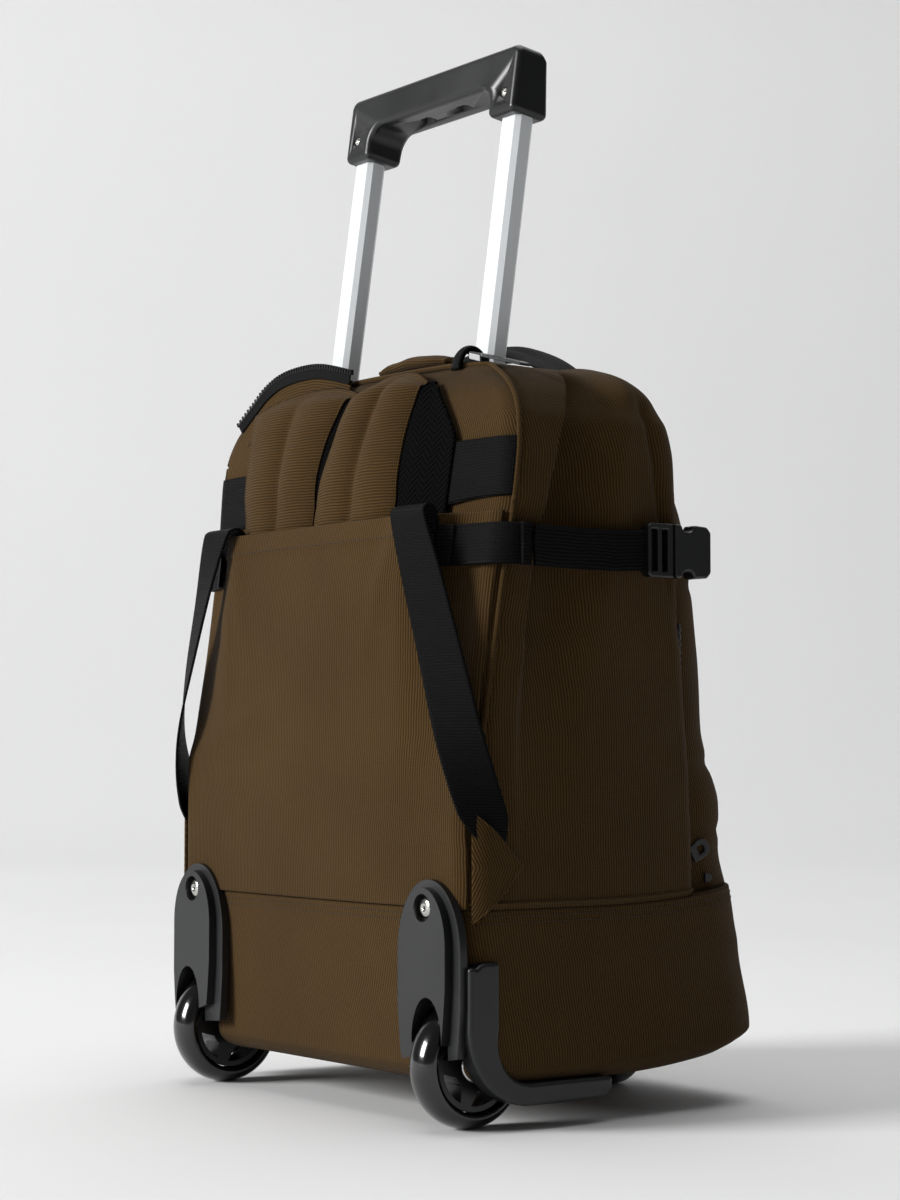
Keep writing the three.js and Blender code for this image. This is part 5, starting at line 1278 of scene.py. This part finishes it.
class BACKPACK_OT_seams(bpy.types.Operator):
    """Builds the piping round the back, the bound seams and the stitch rows"""

    bl_idname = "backpack.seams"
    bl_label = "Seams"

    def execute(self, context):
        trim = context.scene.backpack_trim
        radius, stitch = 1000 * trim.piping, 1000 * trim.stitch
        self.piping(radius)
        self.side_seam(stitch)
        return {"FINISHED"}

    def piping(self, radius):
        """A corded seam along the back corners and across the top of the back."""
        rise = np.linspace(0.0, 0.985, 150)
        plan = body_plan(rise)
        angle = math.radians(52)
        x = plan["half"] - BACK_CORNER + (BACK_CORNER + 0.5) * math.sin(angle)
        y = plan["back"] + BACK_CORNER - (BACK_CORNER + 0.5) * math.cos(angle)
        z = BASE_TOP + (BAG_TOP - BASE_TOP) * rise
        right = np.stack([x, y, z], -1)
        left = right * (-1, 1, 1)
        across = np.linspace(1, -1, 60)[1:-1]
        top = np.stack([x[-1] * across, back_at(x[-1] * across, z[-1]) + 2.0,
                        z[-1] + 2.5 * (1 - across**6)], -1)
        line = path(np.vstack([right[::4], right[-1:], top[::6], left[::-1][::4]]), 420)
        cord = tube_piece("piping", line, radius, MATERIALS["bias"], 10)
        wear(cord, "cloth")

    def side_seam(self, stitch):
        """A raised fold above the side seam, with a double row of stitches under it."""
        grid = body_grid(190)[1]
        ring = np.vstack([grid, grid[:1]])
        out = normals(body_grid(190)[:6], True)[1]
        out = np.vstack([out, out[:1]])
        fold = tube_piece("side_seam_fold", ring + out * 0.1 + (0, 0, 0.6), 1.3, MATERIALS["bias"], 8)
        wear(fold, "cloth")
        base = base_grid(70)
        rows = []
        for k, drop in enumerate((3.0, 8.5)):
            index = np.abs(base[:, 100, 2] - (base[-1, 100, 2] - drop)).argmin()
            line = np.vstack([base[index], base[index][:1]])
            normal = normals(base, True)[index]
            normal = np.vstack([normal, normal[:1]])
            rows.append(stitches(f"base_stitches_{k}", line + normal * 0.05, normal, stitch))
        wear(join("base_stitches", rows), "cloth")


class BACKPACK_OT_pullers(bpy.types.Operator):
    """Builds the two zip pullers at the pocket's side"""

    bl_idname = "backpack.pullers"
    bl_label = "Pullers"

    def execute(self, context):
        for name, height, length, turn in (("upper", 27, 15, 0.5), ("lower", 13, 20, 0.0)):
            a = np.linspace(-np.pi / 2, np.pi / 2, 13)
            tongue = [(0, -5), (length - 6, -6), *zip(length - 6 + 6 * np.cos(a), 6 * np.sin(a)),
                      (length - 6, 6), (0, 5)]
            b = np.linspace(-np.pi / 2, np.pi / 2, 9)
            hole = [(length - 9.5, -2.8), *zip(length - 7.5 + 3.6 * np.cos(b), 2.8 * np.sin(b)),
                    (length - 9.5, 2.8)]

            def swing(loop):
                return [(162.5 + p * math.cos(turn) - q * math.sin(turn),
                         BASE_TOP + height + p * math.sin(turn) + q * math.cos(turn)) for p, q in loop]

            tag = prism(f"tag_{name}", swing(tongue), 150.6, 152.6, MATERIALS["zip"], "x", [swing(hole)],
                        0.6)
            wear(tag, "zip", "bag", f"puller_{name}")
        return {"FINISHED"}


def on_handle(piece):
    """Turns a piece made upright at the grip's foot onto the handle's lean, in its mesh."""
    foot = Vector(place([GRIP_PLACE])[0])
    turn = Matrix.Translation(foot) @ Matrix.Rotation(-LEAN, 4, "X")
    home = Matrix.Translation(-Vector(place([(0, 0, 0)])[0]))
    piece.data.transform(turn @ home)
    return piece


class BACKPACK_OT_handle(bpy.types.Operator):
    """Builds the grip and its screws, and finishes the tubes"""

    bl_idname = "backpack.handle"
    bl_label = "Handle"

    def execute(self, context):
        half, height, leg, bar = 94.0, 45.0, 28.0, 24.0
        inner, under = half - leg, height - bar
        outline_points = [
            (-half, 0), (-inner, 0), *arc_points((-inner + 11, under - 11), 11, math.pi, math.pi / 2, 9),
            *arc_points((inner - 11, under - 11), 11, math.pi / 2, 0, 9), (inner, 0), (half, 0),
            *arc_points((half - 7, height - 7), 7, 0, math.pi / 2, 9),
            *arc_points((-half + 7, height - 7), 7, math.pi / 2, math.pi, 9)]
        grip = prism("handle_grip", outline_points, -14.0, 14.5, MATERIALS["plastic"], "y", (), 4.2, 6)
        apply_modifiers(grip)
        holes = []
        for x in (-20, 20):
            slot = [(x - 6, -1), (x - 4, -3), (x + 4, -3), (x + 6, -1),
                    (x + 6, 3), (x + 4, 5), (x - 4, 5), (x - 6, 3)]
            holes.append(prism("slot", slot, under - 2, under + 4, MATERIALS["plastic"], "z"))
        for sign in (-1, 1):
            holes.append(turned("recess", plug(3.7, -16, -12.0), MATERIALS["plastic"], "y",
                                (sign * TUBE_HALF_SPACING, 0, SCREW_HEIGHT), 32))
        for cutter in holes:
            cut(grip, cutter)
        self.soften(grip)
        wear(on_handle(grip), "plastic", "handle", "grip")
        for side, sign in SIDES:
            self.screw(side, sign)
            refinish(f"handle_tube_{side}", MATERIALS["aluminium"])
            refinish(f"trolley_sleeve_{side}", MATERIALS["aluminium"])
        return {"FINISHED"}

    def soften(self, grip):
        """Draws the top and the rear in to a D profile: the rear face curves over to the top."""

        def draw_in(p):
            t = np.clip(p[:, 2] / 45.0, 0, 1)
            rear = np.clip((p[:, 1] + 2) / 16.5, 0, 1)
            p[:, 1] -= rear * (7.5 * smooth(t, 0.62, 1.0) - 1.2 * np.sin(np.pi * t))
            return p

        reshape(grip, draw_in)

    def screw(self, side, sign):
        """A pan-head screw with a cross recess, set in the grip's face."""
        profile = [(0.01, -13.9), (1.6, -13.8), (2.6, -13.3), (3.2, -12.4), (3.2, -11.4), (0.01, -11.4)]
        head = turned(f"cross_screw_{side}", profile, MATERIALS["steel"], "y",
                      (sign * TUBE_HALF_SPACING, 0, SCREW_HEIGHT), 32)
        for wide, tall in ((2.1, 0.45), (0.45, 2.1)):
            x = sign * TUBE_HALF_SPACING
            blade = prism("blade", [(x - wide, 14 - tall), (x + wide, 14 - tall), (x + wide, 14 + tall),
                                    (x - wide, 14 + tall)], -15, -12.9, MATERIALS["steel"], "y")
            cut(head, blade)
        wear(on_handle(head), "steel", "handle", f"grip_screw_{side}")


def arch(middle, half, bottom, top, taper=0.72, n=15):
    """An arch-topped outline in X and Z: an elliptical head on sides that draw in to the foot."""
    spring = top - half * 1.15 - 8
    t = np.linspace(0, 1, 9)[1:-1]
    right = [(middle + half, spring), (middle + half, bottom + 34)]
    foot = [(middle + half * (taper + (1 - taper) * (1 - u) ** 0.6), bottom + 34 * (1 - u)) for u in t]
    a = np.linspace(np.pi, 0, 2 * n)
    head = [(middle + half * math.cos(b), spring + (top - spring) * math.sin(b)) for b in a]
    left_foot = [(2 * middle - x, z) for x, z in foot[::-1]]
    return [(middle - half * taper, bottom), *left_foot, (middle - half, bottom + 34), *head, *right[1:],
            *foot, (middle + half * taper, bottom)]


class BACKPACK_OT_housings(bpy.types.Operator):
    """Builds the wheel housings, corner rails, rivets and front foot"""

    bl_idname = "backpack.housings"
    bl_label = "Housings"

    def execute(self, context):
        for side, sign in SIDES:
            self.housing(side, sign)
            self.rail(side, sign)
            middle = sign * (HALF_TRACK - PLATE_INSET)
            dome = [(0.01, -28.6), (3, -28.5), (5, -28.0), (6.2, -27.0), (6.3, -25.4), (0.01, -25.4)]
            rivet = turned(f"domed_rivet_{side}", dome, MATERIALS["steel"], "y", (middle, 0, RIVET_HEIGHT),
                           40)
            wear(rivet, "steel", "bag", f"rivet_{side}")
        self.foot()
        return {"FINISHED"}

    def housing(self, side, sign):
        """An arched plate with a raised inner arch, a mouth for the wheel, and the well behind it."""
        middle = sign * (HALF_TRACK - PLATE_INSET)
        front, reach, radius = PLATE_FRONT, WELL_REACH, WELL_RADIUS
        mouth = arch(sign * HALF_TRACK, reach + 1, 30, 2 * WHEEL_RADIUS + 2, 1.0)

        def notch(shape, foot):
            return ([(x, max(z, foot)) for x, z in shape[:-1]]
                    + [(x, max(z, foot)) for x, z in mouth[::-1] if z >= foot + 0.01])

        plate = prism("plate", notch(arch(middle, 31, 40, 146, 0.86), 40), front, front + 5,
                      MATERIALS["plastic"], "y", (), 1.8, 4)
        ring = arc_points((middle, RIVET_HEIGHT), 8.2, 0, 2 * math.pi, 41)[:-1]
        rib = prism("rib", notch(arch(middle, 22.5, 50, 141.5, 0.8), 50), front - 5, front + 1,
                    MATERIALS["plastic"], "y", (ring,), 3.0, 6)
        # The well: an arc of a channel whose section is a U, its front edge kept behind the plate
        a = np.radians(np.linspace(-12, 116, 48))
        section = np.array([(12, -reach - WELL_WALL), (radius + WELL_WALL, -reach - WELL_WALL),
                            (radius + WELL_WALL, reach + WELL_WALL), (12, reach + WELL_WALL), (12, reach),
                            (radius, reach), (radius, -reach), (12, -reach)])
        r, across = section[None, :, 0], section[None, :, 1]
        grid = np.stack([sign * HALF_TRACK + across + 0 * a[:, None], r * np.cos(a)[:, None],
                         WHEEL_RADIUS + r * np.sin(a)[:, None]], -1)
        well = outward(shell_piece("well", grid, MATERIALS["plastic"]))
        whole = join(f"moulded_housing_{side}", [plate, rib, well])
        wear(whole, "plastic", "bag", f"wheel_housing_{side}")

    def rail(self, side, sign):
        """An L-shaped guard round the bottom back corner, rounded on its outer edges."""
        radius, thick, top, bottom, back, end = 46.0, 13.0, 99.0, 14.5, -21.0, 86.0
        turn = (back + radius, bottom + radius)
        outer = arc_points(turn, radius, math.pi, 1.5 * math.pi, 25)
        inner = [(turn[0] + (radius - thick - 9 * u) * math.cos(a),
                  turn[1] + (radius - thick - 2 * u) * math.sin(a))
                 for u, a in zip(np.linspace(0, 1, 25), np.linspace(1.5 * math.pi, math.pi, 25))]
        loop = [(back, top - 2), *outer, (end - 5, bottom), (end, bottom + 5), (end, bottom + thick),
                *inner, (back + thick + 9, top), (back + 9, top), (back + 5, top - 3)]
        near = HALF_TRACK + WELL_REACH + WELL_WALL + RAIL_GAP
        low, high = sorted((sign * near, sign * (near + RAIL_WIDTH)))
        rail = prism(f"moulded_rail_{side}", loop, low, high, MATERIALS["plastic"], "x", (), 2.6, 5)
        wear(rail, "plastic", "bag", f"corner_rail_{side}")

    def foot(self):
        """The front foot: a shallow skid with drawn-up ends."""
        t = np.linspace(0, 1, 12)
        end = [(30 + 34 * u, 24 * u**1.8) for u in t]
        loop = [*end, (64, 33), (-64, 33), *[(-x, z) for x, z in end[::-1]]]
        foot = prism("front_skid", loop, 187, 205, MATERIALS["plastic"], "y", (), 2.0, 4)
        wear(foot, "plastic", "bag", "front_foot")


class BACKPACK_OT_wheels(bpy.types.Operator):
    """Builds the tyres, spoked cores and bearings"""

    bl_idname = "backpack.wheels"
    bl_label = "Wheels"

    def execute(self, context):
        for side, sign in SIDES:
            centre = (sign * HALF_TRACK, 0, WHEEL_RADIUS)
            half = WHEEL_WIDTH / 2
            a = np.radians(np.linspace(-80, 80, 33))
            crown = [(WHEEL_RADIUS - 9 + 9 * math.cos(t) ** 0.8,
                      half * math.sin(t) / math.sin(math.radians(80)))
                     for t in a]
            groove = [(28.6, half - 0.6), (28.1, half - 1.6), (28.1, -half + 1.6), (28.6, -half + 0.6)]
            tyre = turned(f"polished_tyre_{side}", [*crown, *groove], MATERIALS["tyre"], "x", centre, 128)
            wear(tyre, "tyre", f"wheel_{side}", f"tyre_{side}")
            self.core(side, sign)
            ring = [(4.3, -9), (5.2, -9.3), (9.4, -9.3), (10.5, -8.6), (10.5, 8.6), (9.4, 9.3), (5.2, 9.3),
                    (4.3, 9)]
            bearing = turned(f"bearing_ring_{side}", ring, MATERIALS["chrome"], "x", centre, 64)
            wear(bearing, "steel", f"wheel_{side}", f"bearing_{side}")
            refinish(f"axle_{side}", MATERIALS["steel"])
        return {"FINISHED"}

    def core(self, side, sign):
        """A five-spoked core: a disc with five rounded openings between rim and hub."""
        centre = (0, WHEEL_RADIUS)
        holes = [arc_points(centre, 10.9, 0, 2 * math.pi, 40, False)[::-1]]
        for k in range(5):
            middle = 2 * math.pi * k / 5
            holes.append([*arc_points(centre, 24, middle - 0.46, middle + 0.46, 13),
                          *arc_points(centre, 15.6, middle + 0.2, middle - 0.2, 5)])
        core = prism(f"spoked_core_{side}", arc_points(centre, 27.5, 0, 2 * math.pi, 96, False),
                     sign * HALF_TRACK - 8.5, sign * HALF_TRACK + 8.5,
                     MATERIALS["core"], "x", holes, 1.2, 3)
        wear(core, "core", f"wheel_{side}", f"wheel_core_{side}")


class BACKPACK_OT_stage(bpy.types.Operator):
    """Builds the pale floor and backdrop, the soft light and the camera"""

    bl_idname = "backpack.stage"
    bl_label = "Stage"

    def execute(self, context):
        self.floor()
        self.light()
        self.camera(context)
        return {"FINISHED"}

    def floor(self):
        """A pale sweep: flat under the bag, curving up behind it."""
        view = math.radians(53.3)
        along = np.concatenate([np.linspace(-6, 3.2, 24),
                                3.2 + 2.2 * np.sin(np.linspace(0, np.pi / 2, 24))[1:],
                                np.full(12, 5.4)])
        height = np.concatenate([np.zeros(24), 2.2 * (1 - np.cos(np.linspace(0, np.pi / 2, 24)))[1:],
                                 np.linspace(2.4, 8, 12)])
        across = np.linspace(-7, 7, 30)
        ahead = np.array([-math.sin(view), math.cos(view), 0])
        side = np.array([math.cos(view), math.sin(view), 0])
        grid = (along[:, None, None] * ahead + across[None, :, None] * side
                + height[:, None, None] * (0, 0, 1.0))
        made, tree, shader = material("painted studio sweep")
        spot = node(tree, "ShaderNodeTexCoord")
        cloud = node(tree, "ShaderNodeTexNoise", {"Scale": 1.2, "Detail": 2.0},
                     {"Vector": spot.outputs["Object"]})
        paint = node(tree, "ShaderNodeValToRGB",
                     {"stops": [(0.3, srgb("#e4e4e4")), (0.7, srgb("#e6e6e6"))]}, {"Fac": cloud.outputs["Fac"]})
        tree.links.new(paint.outputs["Color"], shader.inputs["Base Color"])
        # Its own lamps light it away from the bag, so the glow begins more than a metre off
        away = node(tree, "ShaderNodeVectorMath", {"operation": "LENGTH"}, {0: spot.outputs["Object"]})
        glow = node(tree, "ShaderNodeMapRange",
                    {"From Min": 0.9, "From Max": 3.4, "To Max": 0.19, "interpolation_type": "SMOOTHSTEP"},
                    {"Value": away.outputs["Value"]})
        tree.links.new(glow.outputs[0], shader.inputs["Emission Strength"])
        shader.inputs["Emission Color"].default_value = (1, 1, 1, 1)
        shader.inputs["Roughness"].default_value = 0.95
        shader.inputs["Specular IOR Level"].default_value = 0.1
        sweep = add_mesh("studio_sweep", grid.reshape(-1, 3) * 1000 - SHIFT,
                         grid_faces(*grid.shape[:2], False), None, made)

    def light(self):
        """A broad key from the left of the back, a weak lamp above, and a dim pale surround."""

        def area(name, at, to, size, power):
            lamp = bpy.data.lights.new(name, "AREA")
            lamp.shape, lamp.size, lamp.size_y, lamp.energy = "RECTANGLE", size[0], size[1], power
            holder = bpy.data.objects.new(name, lamp)
            holder.location = at
            holder.rotation_euler = (Vector(to) - Vector(at)).to_track_quat("-Z", "Y").to_euler()
            bpy.context.scene.collection.objects.link(holder)

        area("key", (-1.9, -5.3, 2.1), (0, 0, 0.33), (2.1, 2.1), 450)
        area("top", (-0.3, 0.3, 3.2), (0, 0, 0.2), (3.0, 3.0), 62)
        world = bpy.data.worlds.new("pale surround")
        world.use_nodes = True
        background = world.node_tree.nodes["Background"]
        background.inputs["Color"].default_value = (0.92, 0.93, 0.95, 1)
        background.inputs["Strength"].default_value = 0.12
        bpy.context.scene.world = world
        bpy.context.scene.view_settings.view_transform = "Standard"

    def camera(self, context):
        """The photograph's view: turned 53.3 degrees about Z and tilted up 3.4 degrees."""
        lens = bpy.data.cameras.new("view")
        lens.sensor_fit = "VERTICAL"
        lens.sensor_height = 36.0
        lens.lens = 75.67
        lens.clip_end = 60
        holder = bpy.data.objects.new("view", lens)
        holder.location = place([(1326.3, -900.6, 222.2)])[0]
        holder.rotation_euler = (math.radians(93.38), 0, math.radians(53.31))
        context.scene.collection.objects.link(holder)
        context.scene.camera = holder


class BACKPACK_PT_panel(bpy.types.Panel):
    """Lists the bag's pieces and settings"""

    bl_idname = "BACKPACK_PT_panel"
    bl_label = "Wheeled backpack"
    bl_space_type = "VIEW_3D"
    bl_region_type = "UI"
    bl_category = "Backpack"

    def draw(self, context):
        for group in (context.scene.backpack_cloth, context.scene.backpack_trim):
            for key in group.__annotations__:
                self.layout.prop(group, key)
        for operator in OPERATORS:
            self.layout.operator(operator.bl_idname)


OPERATORS = (
    BACKPACK_OT_body, BACKPACK_OT_base, BACKPACK_OT_front_pocket, BACKPACK_OT_strap_pocket,
    BACKPACK_OT_shoulder_straps, BACKPACK_OT_band, BACKPACK_OT_lower_webbing, BACKPACK_OT_side_tabs,
    BACKPACK_OT_side_straps, BACKPACK_OT_top, BACKPACK_OT_seams, BACKPACK_OT_pullers, BACKPACK_OT_handle,
    BACKPACK_OT_housings, BACKPACK_OT_wheels, BACKPACK_OT_stage,
)
CLASSES = (ClothSettings, TrimSettings, *OPERATORS, BACKPACK_PT_panel)


def register():
    """Registers the classes and the scene's settings."""
    for item in CLASSES:
        bpy.utils.register_class(item)
    bpy.types.Scene.backpack_cloth = bpy.props.PointerProperty(type=ClothSettings)
    bpy.types.Scene.backpack_trim = bpy.props.PointerProperty(type=TrimSettings)


def unregister():
    """Removes the settings and the classes."""
    del bpy.types.Scene.backpack_trim
    del bpy.types.Scene.backpack_cloth
    for item in reversed(CLASSES):
        bpy.utils.unregister_class(item)


def main():
    register()
    make_materials(bpy.context.scene.backpack_cloth)
    for operator in OPERATORS:
        group, name = operator.bl_idname.split(".")
        getattr(getattr(bpy.ops, group), name)()


if __name__ == "__main__":
    main()
